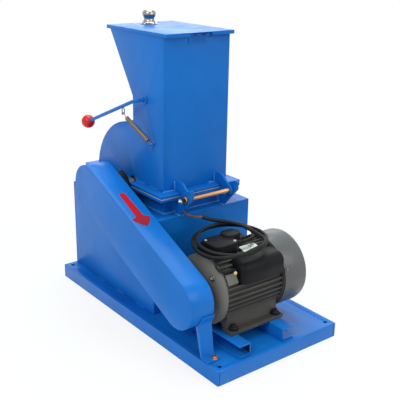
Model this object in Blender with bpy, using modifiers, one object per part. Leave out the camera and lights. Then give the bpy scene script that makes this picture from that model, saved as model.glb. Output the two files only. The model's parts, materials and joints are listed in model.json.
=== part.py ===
"""Hammer crusher: a belt-driven hammer mill on a folded base pan.

Metres, +Z up. +X runs from the crusher to the motor and -Y is the belt side. Sizes are set from
the centre of the base's underside, and everything hangs on an empty there that puts the part's
own origin under the middle of its overall box. The cover opens about the front hinge rod.
"""

import math

import bmesh
import bpy
from mathutils import Matrix, Vector

GAP = 0.0003                 # between pieces that touch
SIDES = 32                   # facets of a large round

# Base pan
BASE_LENGTH = 0.790
BASE_WIDTH = 0.420
BASE_HEIGHT = 0.041
BASE_SHEET = 0.004
BASE_SEAM = 0.0015
BASE_HOLE_RADIUS = 0.006
BASE_HOLE_INSET = 0.020

# Lower housing: a plated box with a neck and a bolting flange on top
HOUSING_BACK = -0.3855
HOUSING_LENGTH = 0.4435
HOUSING_LEDGE = 0.060        # from the chamber's side to the housing's
HOUSING_Y = 0.002
HOUSING_TOP = 0.3189
HOUSING_PLATE = 0.004
DISCHARGE_MARGIN = 0.060     # from the housing's walls to the hole through the base pan

# Chamber, cover casing and flanges
CHAMBER_WIDTH = 0.222
CASING_PLATE = 0.003
CASING_FRONT = 0.0214
CASING_CENTRE_X = -0.143
CASING_CENTRE_Z = 0.359
CASING_RADIUS = 0.188
FLANGE_WIDTH = 0.029
FLANGE_PLATE = 0.008
GASKET_THICKNESS = 0.0014
GASKET_INSET = 0.0005
PARTING_Z = 0.3730
FLANGE_SHAFT_GAP = 0.047
SHAFT_SEAL_CLEARANCE = 0.006

# Hopper
HOPPER_BACK = -0.129
HOPPER_BEND_Z = 0.6265
HOPPER_TOP_BACK = -0.2454
HOPPER_TOP = 0.8078

# Lid
LID_SHEET = 0.002
LID_SKIRT = 0.010
LID_SIDE_OVERHANG = 0.003
LID_FRONT_OVERHANG = 0.0151
LID_BACK_OVERHANG = 0.0093
LID_CLEARANCE = 0.0003
KNOB_BASE_RADIUS = 0.026
KNOB_BALL_RADIUS = 0.0195
KNOB_HEIGHT = 0.042
KNOB_FROM_BACK = 0.046
LEAF_WIDTH = 0.063
LEAF_HEIGHT = 0.021
LEAF_THICKNESS = 0.002
LEAF_SLOT_LENGTH = 0.046
LEAF_SLOT_HEIGHT = 0.004
HINGE_BARREL_RADIUS = 0.0038
HINGE_WIRE_RADIUS = 0.0016
HINGE_WIRE_CLEARANCE = 0.0002
LID_TAB = 0.002
LID_TAB_CLEARANCE = 0.001
LID_NOTCH_CLEARANCE = 0.0025   # beside the leaf, in the lid's front skirt

# Front hinge of the cover
HINGE_REACH = 0.0646         # from the casing's front to the rod
HINGE_Z = 0.3730
HINGE_ROD_RADIUS = 0.006
HINGE_ROD_CLEARANCE = 0.0003
HINGE_HEAD_RADIUS = 0.0095
HINGE_HEAD_LENGTH = 0.006
EAR_PLATE = 0.007
EAR_FROM_SIDE = 0.029        # from the chamber's side to the lower ear's outer face
EAR_SIZE = 0.030             # from the rod to the lower ear's tip
EAR_EDGE = 0.013             # from the rod's middle to the cover ear's edge
EAR_FOOT_BACK = 0.0346       # from the casing's front to the lower ear's heel
EAR_FOOT = 0.020
EAR_SIDE_CLEARANCE = 0.001

# Swing bolt at the back
CLAMP_PIVOT_BACK = 0.011     # behind the flange's back edge
CLAMP_PIVOT_DROP = 0.031     # below the parting line
CLAMP_EAR_GAP = 0.023
CLAMP_EAR_PLATE = 0.006
CLAMP_EAR_RADIUS = 0.011
CLAMP_PIN_RADIUS = 0.005
CLAMP_HEAD_RADIUS = 0.0085
CLAMP_HEAD_LENGTH = 0.007
CLAMP_BOLT_RADIUS = 0.006
CLAMP_EYE_RADIUS = 0.0095
CLAMP_EYE_WIDTH = 0.014
CLAMP_TILT = math.radians(40)
CLAMP_LIFT = 0.0052          # between the finger's top and the loosened knob
CLAMP_COLLAR_RADIUS = 0.017
CLAMP_COLLAR_LENGTH = 0.030
CLAMP_KNOB_RADIUS = 0.025
CLAMP_KNOB_LENGTH = 0.022
KNOB_CHAMFER = 0.002
FINGER_LENGTH = 0.020
FINGER_WIDTH = 0.024
FINGER_SLOT = 0.022

# Feed lever, flap and return spring
LEVER_PIVOT_X = -0.063
LEVER_PIVOT_Z = 0.6265
LEVER_RADIUS = 0.005
LEVER_REACH = 0.040          # from the hopper's side to the lever's rod
LEVER_BEND = 0.014
LEVER_LENGTH = 0.2715
LEVER_SLOPE = math.radians(22.4)
LEVER_BALL_RADIUS = 0.020
LEVER_FAR_STICKOUT = 0.014
BOSS_RADIUS = 0.011
BOSS_LENGTH = 0.007
BOSS_CLEARANCE = 0.0003
FLAP_PLATE = 0.003
FLAP_BACK = 0.056
FLAP_FRONT = 0.075
FLAP_SIDE_CLEARANCE = 0.003
RING_ALONG = 0.057           # from the pivot to the spring's ring, along the lever
RING_DROP = 0.014
RING_RADIUS = 0.006
RING_WIRE = 0.0015
STUD_X = -0.024
STUD_Z = 0.508
STUD_REACH = 0.016
STUD_RADIUS = 0.004
SPRING_RADIUS = 0.0065
SPRING_HOOK = 0.012
SPRING_WIRE = 0.001

# Rotor
ROTOR_X = -0.135
ROTOR_Z = PARTING_Z
SHAFT_RADIUS = 0.0125
DRUM_RADIUS = 0.018
DISC_RADIUS = 0.0755
DISC_PLATE = 0.008
DISC_SIDE_GAP = 0.0085       # from the chamber's wall to the disc's outer face
SHAFT_STICKOUT = 0.010
ROD_CIRCLE = 0.058
ROD_RADIUS = 0.006
ROD_HEAD_RADIUS = 0.0095
ROD_HEAD_LENGTH = 0.0025
ROD_NUT_RADIUS = 0.0115
ROD_NUT_LENGTH = 0.016
ROD_NUT_SPACING = 0.080
ROD_CLEARANCE = 0.0003
ARM_LENGTH = 0.064
ARM_PLATE = 0.006
ARM_WIDTH = 0.022
ARM_INSET = 0.0055           # from the disc's inner face to the arm
HAMMER_BAR_DEPTH = 0.012
HAMMER_BAR_HEIGHT = 0.030
HAMMER_BAR_GAP = 0.0055       # from the disc's inner face to the hammer's bar
HAMMER_LEAN = math.radians(90)   # at rest, from straight outwards
SIEVE_RADIUS = 0.148
SIEVE_PLATE = 0.003

# Pillow blocks
BLOCK_EDGE = 0.0157          # from the housing's side to the block's middle
BLOCK_FOOT_LENGTH = 0.152
BLOCK_FOOT_WIDTH = 0.030
BLOCK_FOOT_HEIGHT = 0.018
BLOCK_BARREL_RADIUS = 0.040
BLOCK_BARREL_WIDTH = 0.020
BLOCK_BORE_CLEARANCE = 0.0003
BLOCK_BOLT_SPACING = 0.118
BLOCK_BOLT_RADIUS = 0.006
BLOCK_BOLT_HEAD = 0.010

# Belt drive
GUARD_FROM_HOUSING = 0.071   # from the housing's side to the guard's outer face
GUARD_DEPTH = 0.070
GUARD_RADIUS = 0.0675
GUARD_SHEET = 0.002
GUARD_UPPER_OFFSET = (-0.0373, -0.0064)   # from the rotor's axis to the guard's upper round
GUARD_LOWER_OFFSET = (0.0297, 0.0014)     # from the motor's axis to its lower round
ROTOR_PULLEY_RADIUS = 0.037
MOTOR_PULLEY_RADIUS = 0.041
PULLEY_WIDTH = 0.036
PULLEY_FROM_FACE = 0.016
GROOVE_SPACING = 0.016
GROOVE_TOP = 0.0126
GROOVE_BOTTOM = 0.0082
GROOVE_DEPTH = 0.0105
BELT_HEIGHT = 0.008
BELT_CLEARANCE = 0.0003
STRAP_SHEET = 0.004
STRAP_FOOT_REACH = 0.0648    # from the guard's lower middle to the strap's heel
STRAP_FOOT_LENGTH = 0.030
STRAP_WIDTH = 0.040

# Motor and its rails
MOTOR_REACH = 0.1695         # from the housing's front to the motor's axis
RAIL_HEIGHT = 0.0355
RAIL_WIDTH = 0.038
RAIL_SHEET = 0.004
RAIL_LENGTH = 0.300
RAIL_BACK_REACH = 0.1475     # from the motor's axis to the rails' back ends
RAIL_NEAR_WEB = -0.092
RAIL_FAR_WEB = 0.020
SHAFT_HEIGHT = 0.100
FOOT_SPAN = 0.204
FOOT_PAD = 0.038
FOOT_HEIGHT = 0.010
FOOT_START = -0.113
FOOT_LENGTH = 0.1805
FOOT_BOLT_INSET = 0.017
FOOT_BOLT_RADIUS = 0.006
BODY_START = -0.120
BODY_LENGTH = 0.191
BODY_RADIUS = 0.087
FIN_HEIGHT = 0.008
FIN_COUNT = 40
FIN_SHARE = 0.36
BELL_START = -0.159
BELL_RADIUS = 0.0955
BELL_NOSE_RADIUS = 0.052
FAN_COVER_END = 0.157
FAN_COVER_RADIUS = 0.103
FAN_COVER_SHEET = 0.002
FAN_COVER_ROUND = 0.014
SPIGOT_LENGTH = 0.010
SPIGOT_LAP = 0.003
FAN_GRILLE_HUB = 0.016
FAN_GRILLE_RINGS = 5
FAN_GRILLE_PITCH = 0.0125
FAN_GRILLE_SLOT = 0.0038
FAN_GRILLE_SPOKES = 4
BOX_ACROSS = (-0.0395, 0.0345)   # from the motor's axis
BOX_Y = (-0.112, -0.034)
BOX_RISE = 0.123             # from the motor's axis to the box's top
BOX_ROUND = 0.018
HUMP_ACROSS = (-0.0395, 0.0045)
HUMP_Y = (-0.052, 0.000)
HUMP_RISE = 0.131
CAPACITOR_IN = 0.0405        # from the motor's axis to the cover's inner side
CAPACITOR_OUT = 0.102        # to its outer side
CAPACITOR_LOW = 0.034        # to its underside
CAPACITOR_RISE = 0.091       # to its top
CAPACITOR_ROUND = 0.024
CAPACITOR_Y = (-0.080, 0.063)
CAPACITOR_DOME = 0.016
MOTOR_SHAFT_RADIUS = 0.014
GLAND_RADIUS = 0.008
GLAND_LENGTH = 0.022
GLAND_INSET = 0.016          # from the box's side to the gland's middle
GLAND_DROP = 0.011

# Power cord
CORD_RADIUS = 0.0050
COIL_FROM_MOTOR = (-0.0025, -0.035, 0.1144)   # the coil's middle, from the motor's axis
COIL_RADIUS = 0.097
COIL_HALF_WIDTH = 0.011
COIL_HEIGHT = 0.021
COIL_TILT = math.radians(5)
COIL_HIGH_SIDE = math.radians(132)
LEAD_BEND = 0.045            # the bend in which the lead joins the coil
LEAD_STRAIGHT = 0.004        # where the bend begins
LEAD_TURN = math.radians(68.2)
LEAD_RISE = 0.0045

# Derived places
AXIS_Y = HOUSING_Y
HOUSING_WIDTH = CHAMBER_WIDTH + 2 * HOUSING_LEDGE
HOUSING_FRONT = HOUSING_BACK + HOUSING_LENGTH
HOUSING_NEAR = HOUSING_Y - HOUSING_WIDTH / 2
HOUSING_FAR = HOUSING_Y + HOUSING_WIDTH / 2
CHAMBER_NEAR = HOUSING_Y - CHAMBER_WIDTH / 2
CHAMBER_FAR = HOUSING_Y + CHAMBER_WIDTH / 2
CASING_BACK = CASING_CENTRE_X - math.sqrt(CASING_RADIUS ** 2 - (PARTING_Z - CASING_CENTRE_Z) ** 2)
HINGE_X = CASING_FRONT + HINGE_REACH
EAR_SPACING = CHAMBER_WIDTH - 2 * EAR_FROM_SIDE
DISC_SPACING = CHAMBER_WIDTH - 2 * (CASING_PLATE + DISC_SIDE_GAP)
HAMMER_BAR_LENGTH = DISC_SPACING - 2 * (DISC_PLATE + HAMMER_BAR_GAP)
BLOCK_OFFSET = HOUSING_WIDTH / 2 - BLOCK_EDGE
LOWER_FLANGE_TOP = PARTING_Z - GASKET_THICKNESS / 2 - GAP
LOWER_FLANGE_BOTTOM = LOWER_FLANGE_TOP - FLANGE_PLATE
UPPER_FLANGE_BOTTOM = PARTING_Z + GASKET_THICKNESS / 2 + GAP
UPPER_FLANGE_TOP = UPPER_FLANGE_BOTTOM + FLANGE_PLATE
FLANGE_BACK = CASING_BACK - FLANGE_WIDTH
FLANGE_FRONT = CASING_FRONT + FLANGE_WIDTH
FLANGE_NEAR = CHAMBER_NEAR - FLANGE_WIDTH
FLANGE_FAR = CHAMBER_FAR + FLANGE_WIDTH
MOTOR_FOOT_Z = BASE_HEIGHT + GAP + RAIL_HEIGHT + GAP
MOTOR_Z = MOTOR_FOOT_Z + SHAFT_HEIGHT
MOTOR_X = HOUSING_FRONT + MOTOR_REACH
RAIL_BACK = MOTOR_X - RAIL_BACK_REACH
RAIL_FRONT = RAIL_BACK + RAIL_LENGTH
GUARD_FACE_Y = HOUSING_NEAR - GUARD_FROM_HOUSING
GUARD_UPPER = (ROTOR_X + GUARD_UPPER_OFFSET[0], ROTOR_Z + GUARD_UPPER_OFFSET[1])
GUARD_LOWER = (MOTOR_X + GUARD_LOWER_OFFSET[0], MOTOR_Z + GUARD_LOWER_OFFSET[1])
STRAP_FOOT_X = GUARD_LOWER[0] + STRAP_FOOT_REACH
PULLEY_START = GUARD_FACE_Y + PULLEY_FROM_FACE
CLAMP_X = FLANGE_BACK - CLAMP_PIVOT_BACK
CLAMP_Z = PARTING_Z - CLAMP_PIVOT_DROP
LEVER_Y = CHAMBER_NEAR - LEVER_REACH
FIN_RADIUS = BODY_RADIUS + FIN_HEIGHT
CLAMP_SEAT = UPPER_FLANGE_TOP - CLAMP_Z + CLAMP_LIFT
CLAMP_LENGTH = CLAMP_SEAT + CLAMP_COLLAR_LENGTH + CLAMP_KNOB_LENGTH
CLAMP_END = (CLAMP_X - math.sin(CLAMP_TILT) * (CLAMP_LENGTH - KNOB_CHAMFER)
             - math.cos(CLAMP_TILT) * CLAMP_KNOB_RADIUS)
MIDDLE_X = (BASE_LENGTH / 2 + CLAMP_END) / 2
MIDDLE_Y = (BASE_WIDTH / 2 + GUARD_FACE_Y) / 2

BLUE = ((0.03, 0.13, 0.62, 1), 0.25, 0.1)
BLACK_IRON = ((0.02, 0.02, 0.022, 1), 0.45, 0.3)
BRIGHT_STEEL = ((0.62, 0.63, 0.64, 1), 0.28, 1.0)
ZINC = ((0.70, 0.72, 0.76, 1), 0.32, 1.0)
DARK_STEEL = ((0.16, 0.15, 0.14, 1), 0.45, 1.0)
COPPER_ZINC = ((0.72, 0.42, 0.26, 1), 0.35, 0.9)
MOTOR_GREY = ((0.09, 0.09, 0.088, 1), 0.5, 0.2)
BELL_GREY = ((0.30, 0.30, 0.29, 1), 0.45, 0.6)
COVER_GREY = ((0.16, 0.16, 0.165, 1), 0.4, 0.2)
PLASTIC_BLACK = ((0.015, 0.015, 0.018, 1), 0.35, 0.0)
RUBBER = ((0.02, 0.02, 0.02, 1), 0.6, 0.0)
RED = ((0.75, 0.02, 0.015, 1), 0.2, 0.0)
CREAM = ((0.72, 0.62, 0.46, 1), 0.8, 0.0)
SPRING_STEEL = ((0.32, 0.27, 0.22, 1), 0.4, 1.0)

Y_AXIS = Matrix.Rotation(-math.pi / 2, 4, "X")      # takes local +Z to world +Y
SIDE_PLANE = Matrix.Rotation(math.pi / 2, 4, "X")   # local x, y lie along world X, Z
END_PLANE = Matrix(((0, 0, 1, 0), (1, 0, 0, 0), (0, 1, 0, 0), (0, 0, 0, 1)))


def clear_scene():
    for item in list(bpy.data.objects):
        bpy.data.objects.remove(item, do_unlink=True)


def new_collection(name):
    group = bpy.data.collections.new(name)
    bpy.context.scene.collection.children.link(group)
    return group


def new_base_centre():
    centre = bpy.data.objects.new("base_centre", None)
    PARTS.objects.link(centre)
    centre.location = (-MIDDLE_X, -MIDDLE_Y, 0)
    return centre


def material(name, look):
    colour, roughness, metallic = look
    skin = bpy.data.materials.new(name)
    skin.use_nodes = True
    shader = skin.node_tree.nodes["Principled BSDF"]
    shader.inputs["Base Color"].default_value = colour
    shader.inputs["Roughness"].default_value = roughness
    shader.inputs["Metallic"].default_value = metallic
    skin.diffuse_color = colour
    return skin


def add(name, mesh, look):
    """Put a mesh into the part as an object, or into the cutters when it has no look."""
    item = bpy.data.objects.new(name, mesh)
    if look is None:
        CUTTERS.objects.link(item)
        item.hide_render = True
        item.display_type = "WIRE"
    else:
        PARTS.objects.link(item)
        mesh.materials.clear()
        mesh.materials.append(material(name, look))
    item.parent = BASE_CENTRE
    return item


def mesh_from(make):
    """A mesh that a function fills through bmesh, with its faces turned outwards."""
    shape = bmesh.new()
    make(shape)
    bmesh.ops.recalc_face_normals(shape, faces=shape.faces)
    mesh = bpy.data.meshes.new("shape")
    shape.to_mesh(mesh)
    shape.free()
    return mesh


def evaluated(item, weld=1e-6):
    """The item's shape as a plain mesh; the item itself is removed."""
    bpy.context.view_layer.update()
    graph = bpy.context.evaluated_depsgraph_get()
    mesh = bpy.data.meshes.new_from_object(item.evaluated_get(graph))
    shape = bmesh.new()
    shape.from_mesh(mesh)
    bmesh.ops.remove_doubles(shape, verts=shape.verts, dist=weld)
    bmesh.ops.recalc_face_normals(shape, faces=shape.faces)
    shape.to_mesh(mesh)
    shape.free()
    bpy.data.objects.remove(item, do_unlink=True)
    return mesh


def box(name, x, y, z, look=None):
    """A block between two values on each axis."""
    def make(shape):
        bmesh.ops.create_cube(shape, size=1)
        size = Matrix.Diagonal((x[1] - x[0], y[1] - y[0], z[1] - z[0], 1))
        centre = Vector(((x[0] + x[1]) / 2, (y[0] + y[1]) / 2, (z[0] + z[1]) / 2))
        bmesh.ops.transform(shape, matrix=Matrix.Translation(centre) @ size, verts=shape.verts)
    return add(name, mesh_from(make), look)


def loft(name, sections, look=None):
    """A skin over closed sections of the same number of points, capped at both ends."""
    def make(shape):
        rings = [[shape.verts.new(point) for point in section] for section in sections]
        for first, second in zip(rings, rings[1:]):
            for i in range(len(first)):
                k = (i + 1) % len(first)
                shape.faces.new((first[i], first[k], second[k], second[i]))
        shape.faces.new(rings[0])
        shape.faces.new(rings[-1])
    return add(name, mesh_from(make), look)


def cylinder(name, start, axis, radius, length, look=None, sides=SIDES, end_radius=None):
    """A round bar from a start point along an axis."""
    def make(shape):
        bmesh.ops.create_cone(shape, cap_ends=True, segments=sides, radius1=radius,
                              radius2=radius if end_radius is None else end_radius, depth=length)
        lift = Matrix.Translation((0, 0, length / 2))
        turn = Vector(axis).to_track_quat("Z", "Y").to_matrix().to_4x4()
        place = Matrix.Translation(start) @ turn @ lift
        bmesh.ops.transform(shape, matrix=place, verts=shape.verts)
    return add(name, mesh_from(make), look)


def ball(name, centre, radius, look=None, rings=12):
    def make(shape):
        bmesh.ops.create_uvsphere(shape, u_segments=2 * rings, v_segments=rings, radius=radius)
        bmesh.ops.translate(shape, vec=centre, verts=shape.verts)
    return add(name, mesh_from(make), look)


def outline_mesh(outlines, thickness):
    """A flat plate from closed outlines; the inner ones are its holes."""
    drawing = bpy.data.curves.new("drawing", "CURVE")
    drawing.dimensions = "2D"
    drawing.fill_mode = "BOTH"
    drawing.extrude = thickness / 2
    for outline in outlines:
        line = drawing.splines.new("POLY")
        line.points.add(len(outline) - 1)
        for point, (a, b) in zip(line.points, outline):
            point.co = (a, b, 0, 1)
        line.use_cyclic_u = True
    item = bpy.data.objects.new("drawing", drawing)
    bpy.context.scene.collection.objects.link(item)
    return evaluated(item)


def plate(name, outlines, thickness, look, plane, offset):
    """A plate whose outline lies in a plane, with its middle at an offset along the normal."""
    mesh = outline_mesh(outlines, thickness)
    mesh.transform(Matrix.Translation(offset) @ plane)
    return add(name, mesh, look)


def side_plate(name, outlines, y, look=None):
    """Outlines in X and Z, between two Y values."""
    return plate(name, outlines, y[1] - y[0], look, SIDE_PLANE, (0, (y[0] + y[1]) / 2, 0))


def flat_plate(name, outlines, z, look=None):
    """Outlines in X and Y, between two Z values."""
    return plate(name, outlines, z[1] - z[0], look, Matrix(), (0, 0, (z[0] + z[1]) / 2))


def end_plate(name, outlines, x, look=None):
    """Outlines in Y and Z, between two X values."""
    return plate(name, outlines, x[1] - x[0], look, END_PLANE, ((x[0] + x[1]) / 2, 0, 0))


def turned(name, profile, start, axis, look=None, sides=SIDES, closed=False):
    """A turned piece: the profile is (radius, height) along the axis from its start."""
    mesh = bpy.data.meshes.new("profile")
    edges = [(i, i + 1) for i in range(len(profile) - 1)]
    if closed:
        edges.append((len(profile) - 1, 0))
    mesh.from_pydata([(radius, 0, height) for radius, height in profile], edges, [])
    item = bpy.data.objects.new("profile", mesh)
    bpy.context.scene.collection.objects.link(item)
    screw = item.modifiers.new("Turn", "SCREW")
    screw.steps = sides
    screw.render_steps = sides
    screw.use_merge_vertices = True
    screw.merge_threshold = 0.00001
    shape = evaluated(item, 0.00001)
    turn = Vector(axis).to_track_quat("Z", "Y").to_matrix().to_4x4()
    shape.transform(Matrix.Translation(start) @ turn)
    return add(name, shape, look)


def tube_mesh(points, radius, resolution=4, cyclic=False):
    path = bpy.data.curves.new("path", "CURVE")
    path.dimensions = "3D"
    path.bevel_depth = radius
    path.bevel_resolution = resolution
    path.use_fill_caps = not cyclic
    line = path.splines.new("POLY")
    line.points.add(len(points) - 1)
    for point, place in zip(line.points, points):
        point.co = (*place, 1)
    line.use_cyclic_u = cyclic
    item = bpy.data.objects.new("path", path)
    bpy.context.scene.collection.objects.link(item)
    return evaluated(item)


def tube(name, points, radius, look=None, resolution=4, cyclic=False):
    return add(name, tube_mesh(points, radius, resolution, cyclic), look)


def boolean(item, tool, operation):
    change = item.modifiers.new(operation.title(), "BOOLEAN")
    change.operation = operation
    change.object = tool
    change.solver = "EXACT"
    return item


def cut(item, *tools):
    for tool in tools:
        boolean(item, tool, "DIFFERENCE")
    return item


def fuse(item, *tools):
    for tool in tools:
        boolean(item, tool, "UNION")
    return item


def arc(centre, radius, start, end, steps):
    """Points on an arc from one angle to another, in radians."""
    turns = [start + (end - start) * i / steps for i in range(steps + 1)]
    return [(centre[0] + radius * math.cos(a), centre[1] + radius * math.sin(a)) for a in turns]


def circle(centre, radius, steps=16):
    return arc(centre, radius, 0, 2 * math.pi, steps)[:-1]


def rectangle(x, y):
    return [(x[0], y[0]), (x[1], y[0]), (x[1], y[1]), (x[0], y[1])]


def obround(first, second, first_radius, second_radius, steps=16):
    """The outline round two circles, as a belt would run."""
    run = Vector(second) - Vector(first)
    heading = math.atan2(run.y, run.x)
    lean = math.acos((first_radius - second_radius) / run.length)
    left = arc(first, first_radius, heading + lean, heading + 2 * math.pi - lean, steps)
    right = arc(second, second_radius, heading - lean, heading + lean, steps)
    return left + right


def rounded(points, radius, steps=3):
    """A closed outline with each corner rounded."""
    result = []
    for i, point in enumerate(points):
        corner = Vector(point)
        before = (Vector(points[i - 1]) - corner).normalized()
        after = (Vector(points[(i + 1) % len(points)]) - corner).normalized()
        half = before.angle(after) / 2
        centre = corner + (before + after).normalized() * radius / math.sin(half)
        start = corner + before * radius / math.tan(half) - centre
        end = corner + after * radius / math.tan(half) - centre
        for k in range(steps + 1):
            spoke = (start * (1 - k / steps) + end * k / steps).normalized() * radius
            result.append(tuple(centre + spoke))
    return result


def base_pan():
    """A folded tray, upside down, open at its corner seams and over the discharge."""
    half_x = BASE_LENGTH / 2
    half_y = BASE_WIDTH / 2
    pan = box("base_pan", (-half_x, half_x), (-half_y, half_y), (0, BASE_HEIGHT), BLUE)
    inner = box("pan_hollow", (-half_x + BASE_SHEET, half_x - BASE_SHEET),
                (-half_y + BASE_SHEET, half_y - BASE_SHEET), (-0.01, BASE_HEIGHT - BASE_SHEET))
    discharge = box("pan_discharge",
                    (HOUSING_BACK + DISCHARGE_MARGIN, HOUSING_FRONT - DISCHARGE_MARGIN),
                    (HOUSING_NEAR + DISCHARGE_MARGIN, HOUSING_FAR - DISCHARGE_MARGIN),
                    (0, 2 * BASE_HEIGHT))
    cut(pan, inner, discharge)
    for x in (-1, 1):
        for y in (-1, 1):
            hole = cylinder(f"pan_hole_{x}_{y}", (x * (half_x - BASE_HOLE_INSET),
                            y * (half_y - BASE_HOLE_INSET), 0), (0, 0, 1), BASE_HOLE_RADIUS,
                            2 * BASE_HEIGHT, sides=16)
            seam_x = sorted((x * (half_x - 2 * BASE_SHEET), x * (half_x + 0.01)))
            seam_y = sorted((y * (half_y - BASE_SHEET), y * (half_y - BASE_SHEET - BASE_SEAM)))
            seam = box(f"pan_seam_{x}_{y}", seam_x, seam_y, (-0.01, BASE_HEIGHT - BASE_SHEET))
            cut(pan, hole, seam)


def motor_rails():
    """Two folded channels with their webs inwards of the motor's bolts."""
    floor = BASE_HEIGHT + GAP
    top = floor + RAIL_HEIGHT
    for name, web, side in (("motor_rail_near", RAIL_NEAR_WEB, -1), ("motor_rail_far", RAIL_FAR_WEB, 1)):
        outer = web + side * RAIL_WIDTH
        inner = web + side * RAIL_SHEET
        outline = [(web, floor), (outer, floor), (outer, floor + RAIL_SHEET),
                   (inner, floor + RAIL_SHEET), (inner, top - RAIL_SHEET),
                   (outer, top - RAIL_SHEET), (outer, top), (web, top)]
        end_plate(name, [outline], (RAIL_BACK, RAIL_FRONT), BLUE)


def housing():
    """The lower box: two ends, two sides between them and a top plate with the chamber's mouth."""
    t = HOUSING_PLATE
    across = (HOUSING_NEAR, HOUSING_FAR)
    rise = (BASE_HEIGHT + GAP, HOUSING_TOP - t - GAP)
    box("housing_front", (HOUSING_FRONT - t, HOUSING_FRONT), across, rise, BLUE)
    box("housing_back", (HOUSING_BACK, HOUSING_BACK + t), across, rise, BLUE)
    between = (HOUSING_BACK + t + GAP, HOUSING_FRONT - t - GAP)
    box("housing_near", between, (HOUSING_NEAR, HOUSING_NEAR + t), rise, BLUE)
    box("housing_far", between, (HOUSING_FAR - t, HOUSING_FAR), rise, BLUE)
    outline = rectangle((HOUSING_BACK, HOUSING_FRONT), across)
    flat_plate("housing_top", [outline, chamber_mouth(CASING_PLATE)], (HOUSING_TOP - t, HOUSING_TOP),
               BLUE)


def chamber_mouth(wall):
    """The chamber's inside outline, a wall's thickness in from its outer faces."""
    return rectangle((CASING_BACK + wall, CASING_FRONT - wall),
                     (CHAMBER_NEAR + wall, CHAMBER_FAR - wall))


def lower_neck():
    """The short neck on the housing and its bolting flange, open where the shaft passes."""
    outline = rectangle((CASING_BACK, CASING_FRONT), (CHAMBER_NEAR, CHAMBER_FAR))
    mouth = chamber_mouth(CASING_PLATE)
    neck = flat_plate("lower_neck", [outline, mouth], (HOUSING_TOP + GAP, LOWER_FLANGE_TOP), BLUE)
    outline = rectangle((FLANGE_BACK, FLANGE_FRONT), (FLANGE_NEAR, FLANGE_FAR))
    fuse(neck, flat_plate("neck_flange", [outline, mouth], (LOWER_FLANGE_BOTTOM, LOWER_FLANGE_TOP)))
    half = FLANGE_SHAFT_GAP / 2
    above = (HOUSING_TOP + 0.010, PARTING_Z + 0.010)
    for name, y in (("near", (FLANGE_NEAR - 0.01, CHAMBER_NEAR)), ("far", (CHAMBER_FAR, FLANGE_FAR + 0.01))):
        cut(neck, box(f"neck_gap_{name}", (ROTOR_X - half, ROTOR_X + half), y, above))
    cut(neck, cylinder("neck_bore", (ROTOR_X, FLANGE_NEAR, ROTOR_Z), (0, 1, 0),
                       SHAFT_RADIUS + SHAFT_SEAL_CLEARANCE, FLANGE_FAR - FLANGE_NEAR, sides=24))


def flange_halves(inset, fingers):
    """The flange's two U-shaped halves, parted where the shaft passes."""
    back = FLANGE_BACK + inset
    front = FLANGE_FRONT - inset
    near = FLANGE_NEAR + inset
    far = FLANGE_FAR - inset
    inner_back = CASING_BACK + CASING_PLATE
    inner_front = CASING_FRONT - CASING_PLATE
    inner_near = CHAMBER_NEAR + CASING_PLATE
    inner_far = CHAMBER_FAR - CASING_PLATE
    gap_back = ROTOR_X - FLANGE_SHAFT_GAP / 2
    gap_front = ROTOR_X + FLANGE_SHAFT_GAP / 2
    tail = []
    if fingers:
        slot = FINGER_SLOT / 2
        reach = slot + FINGER_WIDTH
        tip = back - FINGER_LENGTH
        tail = [(back, AXIS_Y + reach), (tip, AXIS_Y + reach), (tip, AXIS_Y + slot),
                (back, AXIS_Y + slot), (back, AXIS_Y - slot), (tip, AXIS_Y - slot),
                (tip, AXIS_Y - reach), (back, AXIS_Y - reach)]
    rear = [(back, near), (gap_back, near), (gap_back, inner_near), (inner_back, inner_near),
            (inner_back, inner_far), (gap_back, inner_far), (gap_back, far), (back, far), *tail]
    fore = [(front, near), (gap_front, near), (gap_front, inner_near), (inner_front, inner_near),
            (inner_front, inner_far), (gap_front, inner_far), (gap_front, far), (front, far)]
    return (("rear", rear), ("front", fore))


def flanges():
    """The seal on the parting line and the cover's flange, with fingers for the swing bolt."""
    for name, outline in flange_halves(GASKET_INSET, False):
        flat_plate(f"gasket_{name}", [outline],
                   (PARTING_Z - GASKET_THICKNESS / 2, PARTING_Z + GASKET_THICKNESS / 2), CREAM)
    for name, outline in flange_halves(0, True):
        flat_plate(f"upper_flange_{name}", [outline], (UPPER_FLANGE_BOTTOM, UPPER_FLANGE_TOP), BLUE)


def sieve():
    """A half-round screen under the rotor, with a lip at each end that reaches the neck."""
    lip = ROTOR_Z - 0.020
    top = lip + SIEVE_PLATE
    back = CASING_BACK + CASING_PLATE + GAP
    front = CASING_FRONT - CASING_PLATE - GAP
    outer = SIEVE_RADIUS + SIEVE_PLATE
    low = math.asin((ROTOR_Z - lip) / outer)
    high = math.asin((ROTOR_Z - top) / SIEVE_RADIUS)
    under = arc((ROTOR_X, ROTOR_Z), outer, -math.pi + low, -low, 28)
    over = arc((ROTOR_X, ROTOR_Z), SIEVE_RADIUS, -high, -math.pi + high, 28)
    outline = [(back, top), (back, lip), *under, (front, lip), (front, top), *over]
    width = (CHAMBER_NEAR + CASING_PLATE + GAP, CHAMBER_FAR - CASING_PLATE - GAP)
    side_plate("sieve_screen", [outline], width, DARK_STEEL)


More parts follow.
